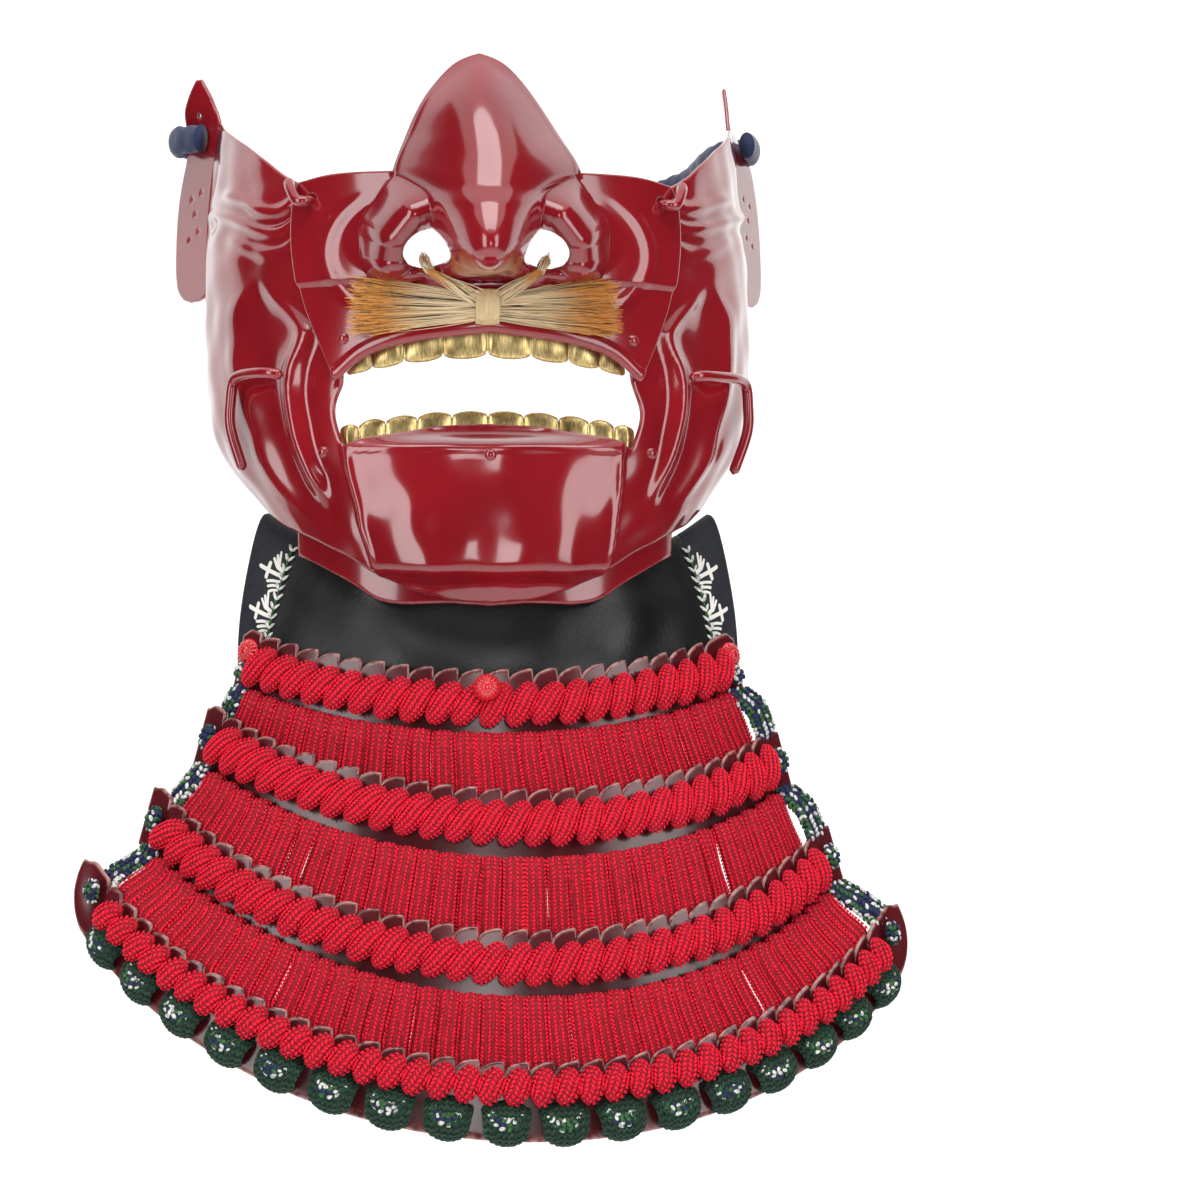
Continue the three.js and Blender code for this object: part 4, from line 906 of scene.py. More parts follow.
def wing_height(a, z):
    best = np.zeros_like(a)
    for start, end in zip(NOSTRIL_WING, NOSTRIL_WING[1:]):
        da, dz = end[0] - start[0], end[1] - start[1]
        t = np.clip(((a - start[0]) * da + (z - start[1]) * dz) / (da * da + dz * dz), 0, 1)
        away = np.hypot(a - start[0] - da * t, z - start[1] - dz * t) / mix(start[3], end[3], t)
        best = np.maximum(best, mix(start[2], end[2], t) * np.maximum(0, 1 - away * away) ** 1.5)
    return best


def nose_relief(a, z):
    across = np.abs(a - NOSE_FOOT * (1 - ease(86, 96, z)))
    u = across / smooth(NOSE, "z", "half", z)
    slant = math.hypot(1, NOSE_ROUND) - NOSE_ROUND
    arch = 1 - (np.hypot(u, NOSE_ROUND) - NOSE_ROUND) / slant
    flare = 0.16 * (1 - ease(88, 96, z)) + 0.001
    body = np.maximum(0, smooth(NOSE, "z", "out", z)) * soft_max(arch, np.zeros_like(arch), flare)
    fold = 1.6 * (1 - ease(0.84, 1.1, np.hypot(across / 37, (z - 73) / 15.5)))
    side = np.abs(a)
    second = 0.9 * hump(np.hypot(side / 47, (z - 70) / 24) * 30 - 30, 1.6) * ease(30, 38, side) * ease(52, 58, z)
    bead = 0.7 * hump(z - smooth(PLATE_LIP, "a", "z", side) - 1.4, 1.2)
    philtrum = -0.5 * hump(a, 3.5) * ease(49, 52, z) * (1 - ease(56, 61, z))
    raised = soft_max(body, wing_height(across, z), 5) * ease(60.5, 63, z)
    return raised + fold + second * (1 - ease(78, 88, z)) + bead + philtrum


def nose_point(a, z):
    out = nose_relief(a, z)
    along = np.minimum(out, 3)
    point = off_face(a, z, IRON + GAP + along)
    hook = NOSE_DROOP * (1 - ease(84, 112, z))
    return point + vec(NOSE_TOP * ease(84, 114, z), along - out, (along - out) * hook)


def nose_flat(s, v):
    away = np.abs(s)
    top = np.where(
        (away < NOSE_SHARE)[:, None], outline(NOSE_OUTLINE, np.minimum(away / NOSE_SHARE, 1)),
        outline(PLATE_WING, np.clip((away - NOSE_SHARE) / (1 - NOSE_SHARE), 0, 1)))
    side = outline(PLATE_SIDE, v)
    corner = mix(np.array([44, 34.6]), np.array([57, 90.6]), v[:, None])
    place = mix(outline(PLATE_LIP, away), top, v[:, None]) + away[:, None] * (side - corner)
    return np.sign(s) * place[:, 0], place[:, 1]


NOSE_HOLES = [(NOSE_FOOT + sign * 16, 70.6, 7.2, 7.0) for sign in (-1, 1)]
NOSE_HOLES += [(sign * 52.2, 85.8, 1.9, 1.9) for sign in (-1, 1)]


def nose_plate():
    s, v, quads = grid(240, 170)
    a, z = nose_flat(2 * s - 1, v)
    for x, y, wide, high in NOSE_HOLES:
        quads = cut_hole(a, z, quads, (x, y), wide, high)
    return plate(nose_point(a, z), quads, IRON, 0)


points, quads, edge = nose_plate()
nose = make_object("nose_plate", points, quads, RED_LACQUER, {"edge": ("FLOAT", edge)})
hand_over(nose, "lacquer", "nose_piece")

# %% [markdown]
# ## Rivets by Geometry Nodes
# The rivets are one turned dome, set on a handful of points and turned by each point's normal.
# Being few, they could be placed by hand, but the tree keeps them alike and easy to move.

# %% Tree: rivets on points
def rivet_tree():
    geometry = "NodeSocketGeometry"
    tree, come, go = new_tree(
        "rivets", "GeometryNodeTree",
        [("Geometry", geometry, None), ("Radius", NUMBER, 1.7 * MM), ("Height", NUMBER, 1.3 * MM),
         ("Material", "NodeSocketMaterial", None)],
        [("Geometry", geometry, None)])
    ball = add(tree, "GeometryNodeMeshUVSphere", {"Segments": 20, "Rings": 12, "Radius": 1.0})
    ball = add(tree, "GeometryNodeSetShadeSmooth", {"Geometry": ball.outputs["Mesh"]})
    facing = add(tree, "GeometryNodeInputNamedAttribute", {"Name": "outward"}, data_type="FLOAT_VECTOR")
    stand = add(tree, "FunctionNodeAlignRotationToVector", {"Vector": facing.outputs[0]}, axis="Z")
    size = add(
        tree, "ShaderNodeCombineXYZ",
        {0: come.outputs["Radius"], 1: come.outputs["Radius"], 2: come.outputs["Height"]})
    set_out = add(
        tree, "GeometryNodeInstanceOnPoints",
        {"Points": come.outputs["Geometry"], "Instance": ball.outputs[0], "Rotation": stand.outputs[0],
         "Scale": size.outputs[0]})
    real = add(tree, "GeometryNodeRealizeInstances", {"Geometry": set_out.outputs[0]})
    dressed = add(tree, "GeometryNodeSetMaterial", {"Geometry": real.outputs[0], "Material": come.outputs["Material"]})
    tree.links.new(dressed.outputs[0], go.inputs[0])
    return tree


RIVETS = rivet_tree()
rivet_spots = [(-51.6, 13.8), (51.6, 13.8), (0.0, 12.4), (-41.4, 45.4), (41.4, 45.4)]
a, z = np.array(rivet_spots).T
out = np.where(z > 30, 2 * IRON + GAP + nose_relief(a, z), shell_relief(a, z)) - 0.1
heads = make_object(
    "lip_rivets", off_face(a, z, out), [], RED_LACQUER, {"outward": ("FLOAT_VECTOR", face_normal(a, z))}, False)
through_tree(heads, RIVETS, Radius=1.8 * MM, Height=1.3 * MM, Material=RED_LACQUER)
hand_over(heads, "lacquer")

# %% [markdown]
# ## Hooks and cord stays
# Four short bent rods: two hooks that the nose piece hangs on, and two stays that keep the
# helmet cord from slipping up the cheek. A rod is a loft of rings along a smooth line, with
# rounded ends.

# %% Smooth lines, rods
def through(points, count):
    """A smooth curve through the points, evenly divided."""
    points = np.asarray(points, float)
    gaps = np.linalg.norm(np.diff(points, axis=0), axis=1) ** 0.5
    rows = {"t": np.concatenate([[0], np.cumsum(gaps)]), **{key: points[:, k] for k, key in enumerate("xyz")}}
    fine = np.linspace(0, rows["t"][-1], 24 * len(points))
    line = np.stack([smooth(rows, "t", key, fine) for key in "xyz"], -1)
    run = np.concatenate([[0], np.cumsum(np.linalg.norm(np.diff(line, axis=0), axis=1))])
    return np.stack([np.interp(np.linspace(0, run[-1], count), run, line[:, k]) for k in range(3)], -1)


def carry(path, start):
    """Turns a side direction smoothly along the path."""
    along = unit(np.gradient(path, axis=0))
    side = [unit(np.cross(along[0], start))]
    for step in along[1:]:
        side.append(unit(side[-1] - step * np.dot(side[-1], step)))
    side = np.array(side)
    return along, side, np.cross(side, along)


def rod(line, radius, count=60, sides=14):
    path = through(line, count)
    _, side, up = carry(path, (0, 0, 1))
    run = np.linspace(0, np.linalg.norm(np.diff(path, axis=0), axis=1).sum(), count)
    end = np.minimum(run, run[-1] - run)
    size = radius * np.sqrt(1 - (1 - np.clip(end / radius, 0, 1)) ** 2 * 0.98)
    return oval_core(path, side, up, size, size, sides)


HOOK_LINE = ((52.2, 85.2, 2.6), (52.3, 84.9, 5.2), (52.9, 84.5, 7), (54.6, 85, 7.6), (57.8, 88.8, 6.6), (60.2, 91.6, 5))
STAY_LINE = ((61.5, 35.6, 4), (65, 36, 6.4), (76, 36.3, 6.4), (84, 36, 6), (87.4, 34.6, 6), (89.4, 30, 6),
             (91.6, 22, 5.8), (94.4, 10.6, 4.6))
for side_name, sign in (("left", -1), ("right", 1)):
    for key, node, rows, shift in (("hook", "nose_hook_", HOOK_LINE, 0), ("stay", "cord_stay_", STAY_LINE, 5 * sign)):
        line = [off_face(sign * (a + (shift if i > 1 else 0)), z, out) for i, (a, z, out) in enumerate(rows)]
        made = make_object(f"{key}_{side_name}", *rod(line, 1.6), RED_LACQUER)
        hand_over(made, "lacquer", node + side_name)


# %% [markdown]
# ## Teeth
# Gilt teeth are beaten up from one strip behind each lip. Each tooth bulges between two grooves
# and is rounded at its tip, and fine brush lines run down the gilding.

# %% Gilding, and both strips
GILT, tree, shader = new_material("brushed_gilding", 0.34, 1.0)
where = add(tree, "ShaderNodeTexCoord").outputs["Object"]
drawn = add(tree, "ShaderNodeMapping", {"Vector": where, "Scale": (1, 1, 0.08)}).outputs[0]
lines = add(tree, "ShaderNodeTexNoise", {"Vector": drawn, "Scale": 2600, "Detail": 4}).outputs[0]
stain = add(tree, "ShaderNodeTexNoise", {"Vector": where, "Scale": 160, "Detail": 4}).outputs[0]
bright = blend(tree, mapped(tree, lines, 0.3, 0.7), (0.42, 0.29, 0.10, 1), (0.80, 0.63, 0.30, 1))
tree.links.new(blend(tree, mapped(tree, stain, 0.5, 0.75), bright, (0.20, 0.13, 0.05, 1)), shader.inputs["Base Color"])
bump(tree, shader, lines, 0.3, 0.05)

UPPER_TEETH = (-44, -35.6, -25.4, -13.6, -0.6, 12.4, 24, 34, 43)
LOWER_TEETH = (-46.6, -40.4, -32.4, -22.6, -11.6, 0, 11.4, 22.6, 32.2, 39.6, 46.4)


def lower_lip(a):
    return smooth(LOWER_LIP, "a", "z", np.minimum(np.abs(a), 44))


def teeth(divisions, base, tip, depth):
    count = len(divisions) - 1
    s, v, quads = grid(count * 16, 20)
    tooth = np.minimum(count - 1, np.floor(s * count + 1e-9)).astype(int)
    inside = s * count - tooth
    edges = np.array(divisions, float)
    a = mix(edges[tooth], edges[tooth + 1], inside)
    bow = np.sin(math.pi * inside)
    end = mix(base(a), tip(a), 0.8 + 0.2 * bow**0.4)
    bulge = 1.5 * bow**0.5 * (1 - 0.75 * v**4) - 0.3
    points = off_face(a, mix(base(a), end, v), bulge - depth(a))
    up = tip(np.zeros(1))[0] > base(np.zeros(1))[0]
    return plate(points, quads if up else quads[:, ::-1], 0, IRON)[:2]


upper = teeth(
    UPPER_TEETH, lambda a: smooth(PLATE_LIP, "a", "z", np.abs(a)) + 5,
    lambda a: 40.3 - 4.3 * (a / 44) ** 2, lambda a: np.full_like(a, 3.4))
lower = teeth(
    LOWER_TEETH, lambda a: lower_lip(a) - 5, lambda a: lower_lip(a) + 4.6 + 2.6 * (a / 45) ** 2,
    lambda a: IRON + 2 + lip_shelf(np.abs(a)))
hand_over(make_object("upper_teeth", *upper, GILT), "gold", "teeth_upper")
hand_over(make_object("lower_teeth", *lower, GILT), "gold", "teeth_lower")

# %% [markdown]
# ## Moustache
# Coarse hair is tied in the middle and fans out to both sides, pale at the tie and orange-brown
# at the tips, with dark hairs among it. Two thin strands go up into the nostrils. Each hair is a
# drawn line that a geometry tree turns into a fine tube.

# %% Hair tree and hair
def hair_tree():
    geometry = "NodeSocketGeometry"
    tree, come, go = new_tree(
        "hairs", "GeometryNodeTree",
        [("Geometry", geometry, None), ("Radius", NUMBER, 0.1 * MM), ("Material", "NodeSocketMaterial", None)],
        [("Geometry", geometry, None)])
    line = add(tree, "GeometryNodeMeshToCurve", {"Mesh": come.outputs["Geometry"]})
    taper = add(tree, "GeometryNodeInputNamedAttribute", {"Name": "taper"}, data_type="FLOAT").outputs[0]
    size = reckon(tree, "MULTIPLY", taper, come.outputs["Radius"])
    ring = add(tree, "GeometryNodeCurvePrimitiveCircle", {"Resolution": 3, "Radius": 1.0})
    sized = add(tree, "GeometryNodeSetCurveRadius", {"Curve": line.outputs[0], "Radius": size})
    tube = add(
        tree, "GeometryNodeCurveToMesh",
        {"Curve": sized.outputs[0], "Profile Curve": ring.outputs[0], "Fill Caps": True})
    if "Scale" in tube.inputs:
        tree.links.new(size, tube.inputs["Scale"])
    real = add(tree, "GeometryNodeRealizeInstances", {"Geometry": tube.outputs[0]})
    dressed = add(tree, "GeometryNodeSetMaterial", {"Geometry": real.outputs[0], "Material": come.outputs["Material"]})
    tree.links.new(dressed.outputs[0], go.inputs[0])
    return tree


HAIRS = hair_tree()
HAIR, tree, shader = new_material("horse_hair", 0.5)
tip = add(tree, "ShaderNodeAttribute", attribute_name="tip").outputs["Fac"]
dark = add(tree, "ShaderNodeAttribute", attribute_name="shade").outputs["Fac"]
ramp = blend(tree, mapped(tree, tip, 0.45, 0.95), (0.88, 0.70, 0.44, 1), (0.85, 0.38, 0.07, 1))
tree.links.new(blend(tree, mapped(tree, dark, 0.82, 0.9), ramp, (0.035, 0.022, 0.014, 1)), shader.inputs["Base Color"])

draws = np.random.default_rng(11)


def hair_lines(roots, tips, lift, count_steps=7):
    """Slightly bowed lines from roots to tips: points, tips' share and edges."""
    t = np.linspace(0, 1, count_steps)[None, :, None]
    bow = np.sin(math.pi * t) * draws.normal(0, 0.5, (len(roots), 1, 3))
    out = np.array([0, -1, 0]) * lift * np.sin(math.pi * t * 0.6)
    points = mix(roots[:, None], tips[:, None], t) + bow + out
    index = np.arange(points.size // 3).reshape(len(roots), -1)
    edges = np.stack([index[:, :-1], index[:, 1:]], -1).reshape(-1, 2)
    return points.reshape(-1, 3), np.tile(t.ravel(), len(roots)), edges


def hair_piece():
    parts = []
    for sign, reach in ((-1, 37.5), (1, 36.5)):
        count = 850
        spread, depth = draws.uniform(-1, 1, count), draws.uniform(0, 1, count)
        far = reach * draws.uniform(0.55, 1.04, count) ** 0.5
        root = off_face(-1 + sign * draws.uniform(0, 3, count), 53.2 + 3.0 * spread, 3.4 + 4.2 * depth * (1 - 0.5 * spread**2))
        end = off_face(sign * far - 1, 53.9 + 7.4 * spread + draws.normal(0, 0.7, count), 3.2 + 3.6 * depth)
        parts.append(hair_lines(root, end, 0.6))
        count = 90
        foot = vec(-1 + sign * 2.4 + draws.normal(0, 0.8, count), -7.4 + draws.normal(0, 0.5, count), 55 + draws.normal(0, 1, count))
        peak = vec(-1.6 + sign * 15.2 + draws.normal(0, 0.5, count), -5.4, 63.4 + draws.normal(0, 0.4, count))
        beyond = peak + vec(sign * 2.2, 2 + draws.normal(0, 0.5, count), 4.2 + draws.normal(0, 0.8, count))
        parts += [hair_lines(foot, peak, 0.4), hair_lines(peak, beyond, 0.0)]
    start, points, tips, edges = 0, [], [], []
    for p, t, e in parts:
        points.append(p)
        tips.append(t)
        edges.append(e + start)
        start += len(p)
    points, tips, edges = np.concatenate(points), np.concatenate(tips), np.concatenate(edges)
    shade = np.repeat(draws.uniform(0, 1, len(points) // 7), 7)
    mesh = bpy.data.meshes.new("moustache_hair")
    mesh.from_pydata((points * MM).tolist(), edges.tolist(), [])
    for key, values in (("tip", tips), ("shade", shade), ("taper", 1.15 - 0.75 * tips)):
        mesh.attributes.new(key, "FLOAT", "POINT").data.foreach_set("value", values)
    made = bpy.data.objects.new("moustache_hair", mesh)
    scene.collection.objects.link(made)
    return through_tree(made, HAIRS, Radius=0.14 * MM, Material=HAIR)


hand_over(hair_piece(), "hair", "moustache")
tie_path = through([(-1, -6.6, 58.2), (-1, -8.6, 55.8), (-1, -9.2, 53.4), (-1, -8.6, 50.4), (-1, -6.4, 48.8)], 24)
_, side, up = carry(tie_path, (0, -1, 0))
tie = oval_core(tie_path, vec(1, 0, 0) * np.ones((24, 1)), unit(np.cross(vec(1, 0, 0), np.gradient(tie_path, axis=0))), np.full(24, 3.4), np.full(24, 0.5), 16)
TIE, tree, shader = new_material("pale_binding", 0.5)
where = add(tree, "ShaderNodeTexCoord").outputs["Object"]
drawn = add(tree, "ShaderNodeMapping", {"Vector": where, "Scale": (1, 1, 0.1)}).outputs[0]
strands = add(tree, "ShaderNodeTexNoise", {"Vector": drawn, "Scale": 1500, "Detail": 3}).outputs[0]
tree.links.new(blend(tree, strands, (0.42, 0.28, 0.12, 1), (0.78, 0.62, 0.36, 1)), shader.inputs["Base Color"])
hand_over(make_object("moustache_tie", *tie, TIE), "hair")

# %% [markdown]
# ## Head strap
# A padded tube of navy cloth, drawn through the ear flange and round the back of the head.

# %% Strap
NAVY = yarn("navy_cloth", (0.012, 0.022, 0.075), (0.003, 0.006, 0.02), (0.03, 0.05, 0.14), 900, 0.35, 0.85)
STRAP_LINE = (
    (-86.2, 104.6, 117), (-89.8, 109.6, 117.4), (-94, 116.4, 118), (-95, 121.4, 118.2), (-92.6, 126, 118),
    (-87.6, 129.4, 117.2), (-83.2, 134.4, 115.6), (-79, 146, 113.4), (-72, 168, 111.2), (-57, 190, 110),
    (-32, 204, 109.6), (0, 209, 109.6), (32, 204, 110), (58, 190, 111), (73, 168, 113.6), (79, 146, 118),
    (82.6, 135.4, 118.6), (86.4, 130.4, 118.4), (89.6, 127, 118.2), (90.8, 122.6, 118), (89.8, 116.6, 117.6),
    (88, 109.6, 117.2), (86.4, 104, 117))
strap_path = through(STRAP_LINE, 400)
along = unit(np.gradient(strap_path, axis=0))
sideways = unit(np.cross(along, np.array([0, 0, 1.0])))
t = np.linspace(0, 1, 400)
gather_wave = 1 + 0.05 * np.sin(t * 260) + 0.03 * np.sin(t * 97)
strap = oval_core(strap_path, sideways, np.cross(sideways, along), 2.4 * gather_wave, 4.4 * (2 - gather_wave), 24)
strap_piece = make_object("padded_strap", *strap, NAVY, {"shade": ("FLOAT", np.full(len(strap[0]), 0.5))})
hand_over(strap_piece, "navy", "head_strap")

# %% [markdown]
# ## Neck flange, leather and bands
# The leather is sewn to a strip under the jaw. At each end it has a band of printed leather with
# white crosses and ferns, joined by a row of V stitches in white and green.

# %% Lame arcs, on which the neck also hangs
LAMES = (
    dict(top=(-2, -47.8, 70, 28, -37), bottom=(-5, -70, 73.8, 27, -55.8), tilt=0.5, sway=1.3, belly=0, teeth=0.92, rope=0.44, high=4.7),
    dict(top=(-11, -80.4, 81.5, 26, -61.2), bottom=(-16, -104, 86.2, 24, -80), tilt=2.6, sway=2.6, belly=0, teeth=0.925, rope=0.4, high=4.8),
    dict(top=(-23, -117.8, 96, 21, -86), bottom=(-27, -140, 100.6, 19, -103), tilt=3.6, sway=2.2, belly=0, teeth=0.93, rope=0.41, high=4.4),
    dict(top=(-34, -152.2, 114.4, 14, -106.6), bottom=(-37, -172, 116.4, 12, -127.6), tilt=3.6, sway=2.2, belly=2.6, teeth=0.92, rope=0.31, high=3.2),
)


def arc_point(edge, u):
    mid_y, mid_z, end_x, end_y, end_z = edge
    half = 2 * math.atan(math.hypot(end_y - mid_y, end_z - mid_z) / end_x)
    back = (1 - np.cos(half * u)) / (1 - math.cos(half))
    return vec(end_x * np.sin(half * u) / math.sin(half), mix(mid_y, end_y, back), mix(mid_z, end_z, back))


def lame_point(lame, u, w):
    u, w = np.broadcast_arrays(np.asarray(u, float), np.asarray(w, float))
    point = mix(arc_point(lame["top"], u), arc_point(lame["bottom"], u), w[..., None])
    point[..., 0] += lame["sway"] + lame["belly"] * np.sign(u) * ease(0.95, 1, np.abs(u)) * 4 * w * (1 - w)
    point[..., 2] -= point[..., 0] * math.tan(math.radians(lame["tilt"]))
    return point


def lame_normal(lame, u, w):
    u, w = np.asarray(u, float), np.asarray(w, float)
    across = lame_point(lame, u + 0.01, w) - lame_point(lame, u - 0.01, w)
    return unit(np.cross(across, lame_point(lame, u, w - 0.05) - lame_point(lame, u, w + 0.05)))


def off_lame(lame, u, w, out):
    out = np.asarray(out, float)
    return lame_point(lame, u, w) + lame_normal(lame, u, w) * (out[..., None] if out.ndim else out)


def head_count(lame):
    edge = lame_point(lame, np.linspace(-1, 1, 41), 0)
    return round(float(np.linalg.norm(np.diff(edge, axis=0), axis=1).sum() * lame["teeth"] / 6.8))


print("heads on each lame:", [head_count(lame) for lame in LAMES])

# %% Flange, leather, bands
def flange_point(s, v):
    place = outline(JAW_RIM, np.abs(s) * 0.66)
    below = mix(1, 8, ease(12, 50, place[:, 0]))
    drop = mix(2.5, -below, v)
    return off_face(np.sign(s) * place[:, 0], place[:, 1], -1.7 - 0.4 * v) + vec(0, 0, drop)


s, v, quads = grid(200, 12)
points, quads, edge = plate(flange_point(2 * s - 1, 1 - v), quads, 0, IRON)
hand_over(make_object("jaw_flange", points, quads, RED_LACQUER, {"edge": ("FLOAT", edge)}), "lacquer", "neck_flange")

NECK_TOP = table(
    "g x y z", (0, 0, 8.6, -27), (0.25, 18, 10.4, -25.5), (0.5, 35, 16, -19.5), (0.7, 45.8, 27.4, -13.2),
    (0.86, 55.4, 41, -9.4), (1, 65.6, 52, -3))


def neck_point(g, v):
    away = np.abs(g)
    top = vec(np.sign(g) * smooth(NECK_TOP, "g", "x", away) + 2, smooth(NECK_TOP, "g", "y", away), smooth(NECK_TOP, "g", "z", away))
    foot = off_lame(LAMES[0], g * 1.04, np.full_like(g, 0.72), -(2.6 + 1.2 * ease(0.9, 1, away)))
    swell = 2 * np.sin(math.pi * v**1.6) * (1 - 0.5 * g * g)
    outward = unit(vec(top[:, 0], top[:, 1] - 70, 0)) * swell[:, None]
    spread = (v ** mix(1.25, 0.5, ease(0.6, 1, away)))[:, None]
    fall = mix(top, foot, spread)
    fall[:, 2] = mix(top[:, 2], foot[:, 2], v)
    return fall + outward


def folds(g, v):
    """Soft slack in the leather."""
    slack = np.sin(3.5 * g + 5 * v) * np.sin(9 * g - 7 * v + 1) + 0.6 * np.sin(17 * g + 9 * v + 2) * v
    return 0.7 * slack * np.sin(math.pi * v) ** 0.8 * (1 - ease(0.72, 0.86, np.abs(g)))


def neck_strip(start, end, columns, rows):
    s, v, quads = grid(columns, rows)
    g, v = mix(start, end, s), 1 - v
    points = neck_point(g, v)
    points = points + point_normals(points, quads) * folds(g, v)[:, None]
    return points, quads, g, v


LEATHER, tree, shader = new_material("black_leather", 0.36)
shader.inputs["Specular IOR Level"].default_value = 0.35
where = add(tree, "ShaderNodeTexCoord").outputs["Object"]
pores = add(tree, "ShaderNodeTexVoronoi", {"Vector": where, "Scale": 900}).outputs[0]
cloud = add(tree, "ShaderNodeTexNoise", {"Vector": where, "Scale": 45, "Detail": 4}).outputs[0]
tree.links.new(blend(tree, cloud, (0.003, 0.003, 0.0035, 1), (0.012, 0.012, 0.013, 1)), shader.inputs["Base Color"])
tree.links.new(mapped(tree, cloud, 0.3, 0.8, 0.3, 0.5), shader.inputs["Roughness"])
bump(tree, shader, pores, 0.25, 0.12)

BAND, tree, shader = new_material("printed_leather", 0.6)
shader.inputs["Specular IOR Level"].default_value = 0.25
where = add(tree, "ShaderNodeTexCoord").outputs["Object"]
cloud = add(tree, "ShaderNodeTexNoise", {"Vector": where, "Scale": 500, "Detail": 4}).outputs[0]
printed = add(tree, "ShaderNodeAttribute", attribute_name="print").outputs["Fac"]
ground = blend(tree, cloud, (0.008, 0.010, 0.014, 1), (0.026, 0.028, 0.036, 1))
worn = reckon(tree, "ADD", printed, reckon(tree, "MULTIPLY", reckon(tree, "SUBTRACT", cloud, 0.5), 0.25))
tree.links.new(blend(tree, mapped(tree, worn, -0.06, 0.06), ground, (0.80, 0.78, 0.72, 1)), shader.inputs["Base Color"])
bump(tree, shader, cloud, 0.3, 0.1)


def stroke(x, y, points, width):
    """How far inside a painted stroke each place is, in mm."""
    best = np.full_like(x, -9.0)
    for (x0, y0), (x1, y1) in zip(points, points[1:]):
        dx, dy = x1 - x0, y1 - y0
        t = np.clip(((x - x0) * dx + (y - y0) * dy) / (dx * dx + dy * dy), 0, 1)
        best = np.maximum(best, width / 2 - np.hypot(x - x0 - dx * t, y - y0 - dy * t))
    return best


def band_print(x, y):
    """Crosses with a fern above and below each. x is mm out from the seam, y mm down from the top."""
    best = np.full_like(x, -9.0)
    for centre in (12.5, 24.2, 36):
        cross = [((0.6, centre), (8.4, centre)), ((5.4, centre - 2.0), (5.4, centre + 2.0))]
        for line in cross:
            best = np.maximum(best, stroke(x, y, line, 1.15))
        for k in range(3):
            for turn in (-1, 1):
                low = 1.2 + 0.2 * k if turn < 0 else 1.6 + 1.25 * k
                root, knee = (0.5, centre + turn * low), (2.1 + 0.35 * (2 - k), centre + turn * (low + 0.5))
                far = (4.6 - 0.75 * k, centre + turn * (low + (2.4 + k if turn < 0 else 1.2)))
                best = np.maximum(best, stroke(x, y, (root, knee, far), 0.75))
    return best


neck = {"neck_leather": (-0.856, 0.856, 260, 60), "neck_band_left": (-1, -0.864, 70, 170), "neck_band_right": (0.864, 1, 70, 170)}
for name, (start, end, columns, rows) in neck.items():
    points, quads, g, v = neck_strip(start, end, columns, rows)
    seam = neck_point(np.sign(g) * 0.864, v)
    x = np.linalg.norm(neck_point(g, v) - seam, axis=1)
    y = v * 44
    printed = band_print(x, y)
    band = name != "neck_leather"
    points, quads, edge = plate(points, quads, 0.8, 0.8)
    fields = {"print": ("FLOAT", np.resize(np.r_[printed, np.full(len(printed), -9.0), np.full(len(points), -9.0)], len(points)))}
    made = make_object(name.replace("neck", "throat"), points, quads, BAND if band else LEATHER, fields)
    hand_over(made, "band" if band else "leather", name)

# %% [markdown]
# ## Lames
# A lame is one lacquered strip whose top edge is cut into scale heads: each rises in a quarter
# round from its left and drops straight at its right, where the lacquer has worn pale.

# %% Four lames
HEAD_SHARE = 0.17


def head_depth(lame, u):
    """How far the top edge lies below the strip's own edge, as a share of its height."""
    heads, reach = head_count(lame), lame["teeth"]
    place = (u + reach) / (2 * reach) * heads
    t = np.clip((place - np.floor(place) - 0.08) / 0.92, 0, 1)
    cut = 1 - np.sqrt(1 - (1 - t) ** 2)
    near = place - np.floor(place) < 0.08
    toothed = np.where(near, 1.0, cut) * HEAD_SHARE
    end = 0.1 * ease(0.965, 1, np.abs(u))
    return np.where(np.abs(u) < reach, toothed, end)


for i, lame in enumerate(LAMES):
    count = head_count(lame) * 25
    s, v, quads = grid(count, 14)
    u = 2 * s - 1
    w = mix(head_depth(lame, u), 1, v**1.4)
    points, quads, edge = plate(lame_point(lame, u, w), quads[:, ::-1], IRON / 2, IRON / 2)
    made = make_object(f"scale_lame_{i + 1}", points, quads, LAME_LACQUER, {"edge": ("FLOAT", edge)})
    hand_over(made, "lame_lacquer", f"lame_{i + 1}")

# %% [markdown]
# ## Ropes of lacing along the lames
# The lace comes out of one hole and goes back into the next, slanted, so each lame carries a row
# of leaning leaves that read as a twisted rope. There is one leaf for each scale head.

# %% Leaves
def leaf_row(lame, seed):
    rng = np.random.default_rng(seed)
    heads = head_count(lame)
    cores, places = [], []
    for k in range(heads):
        u = mix(-0.905, 0.905, (k + 0.5) / heads) + rng.normal(0, 0.0012)
        w = lame["rope"]
        normal = lame_normal(lame, u, w)
        right = unit(lame_point(lame, u + 0.01, w) - lame_point(lame, u - 0.01, w))
        up = np.cross(normal, right)
        up = up * np.sign(up[2])
        lean = math.radians(44 + rng.normal(0, 4))
        run = right * math.cos(lean) + up * math.sin(lean)
        side = up * math.cos(lean) - right * math.sin(lean)
        t = np.linspace(-1, 1, 15)
        length = lame["high"] * 1.42
        path = lame_point(lame, u, w)[None] + run * (t * length)[:, None]
        path = path + side * (1.0 * np.sin(t * 2.2))[:, None]
        path = path + normal * (IRON / 2 + GAP + 2.1 + 1.3 * (1 - t * t) - 0.5 * t)[:, None]
        shape = np.sqrt(np.clip(1 - t * t * 0.97, 0, 1)) ** 0.8
        core, spots = braid(path, np.broadcast_to(normal, path.shape), 3.5 * shape, 2.5 * shape, 0.95, 7, 0.65, 80, 0.5, rng)
        cores.append(core)
        places.append(spots)
    return gather(*cores), join_places(places)


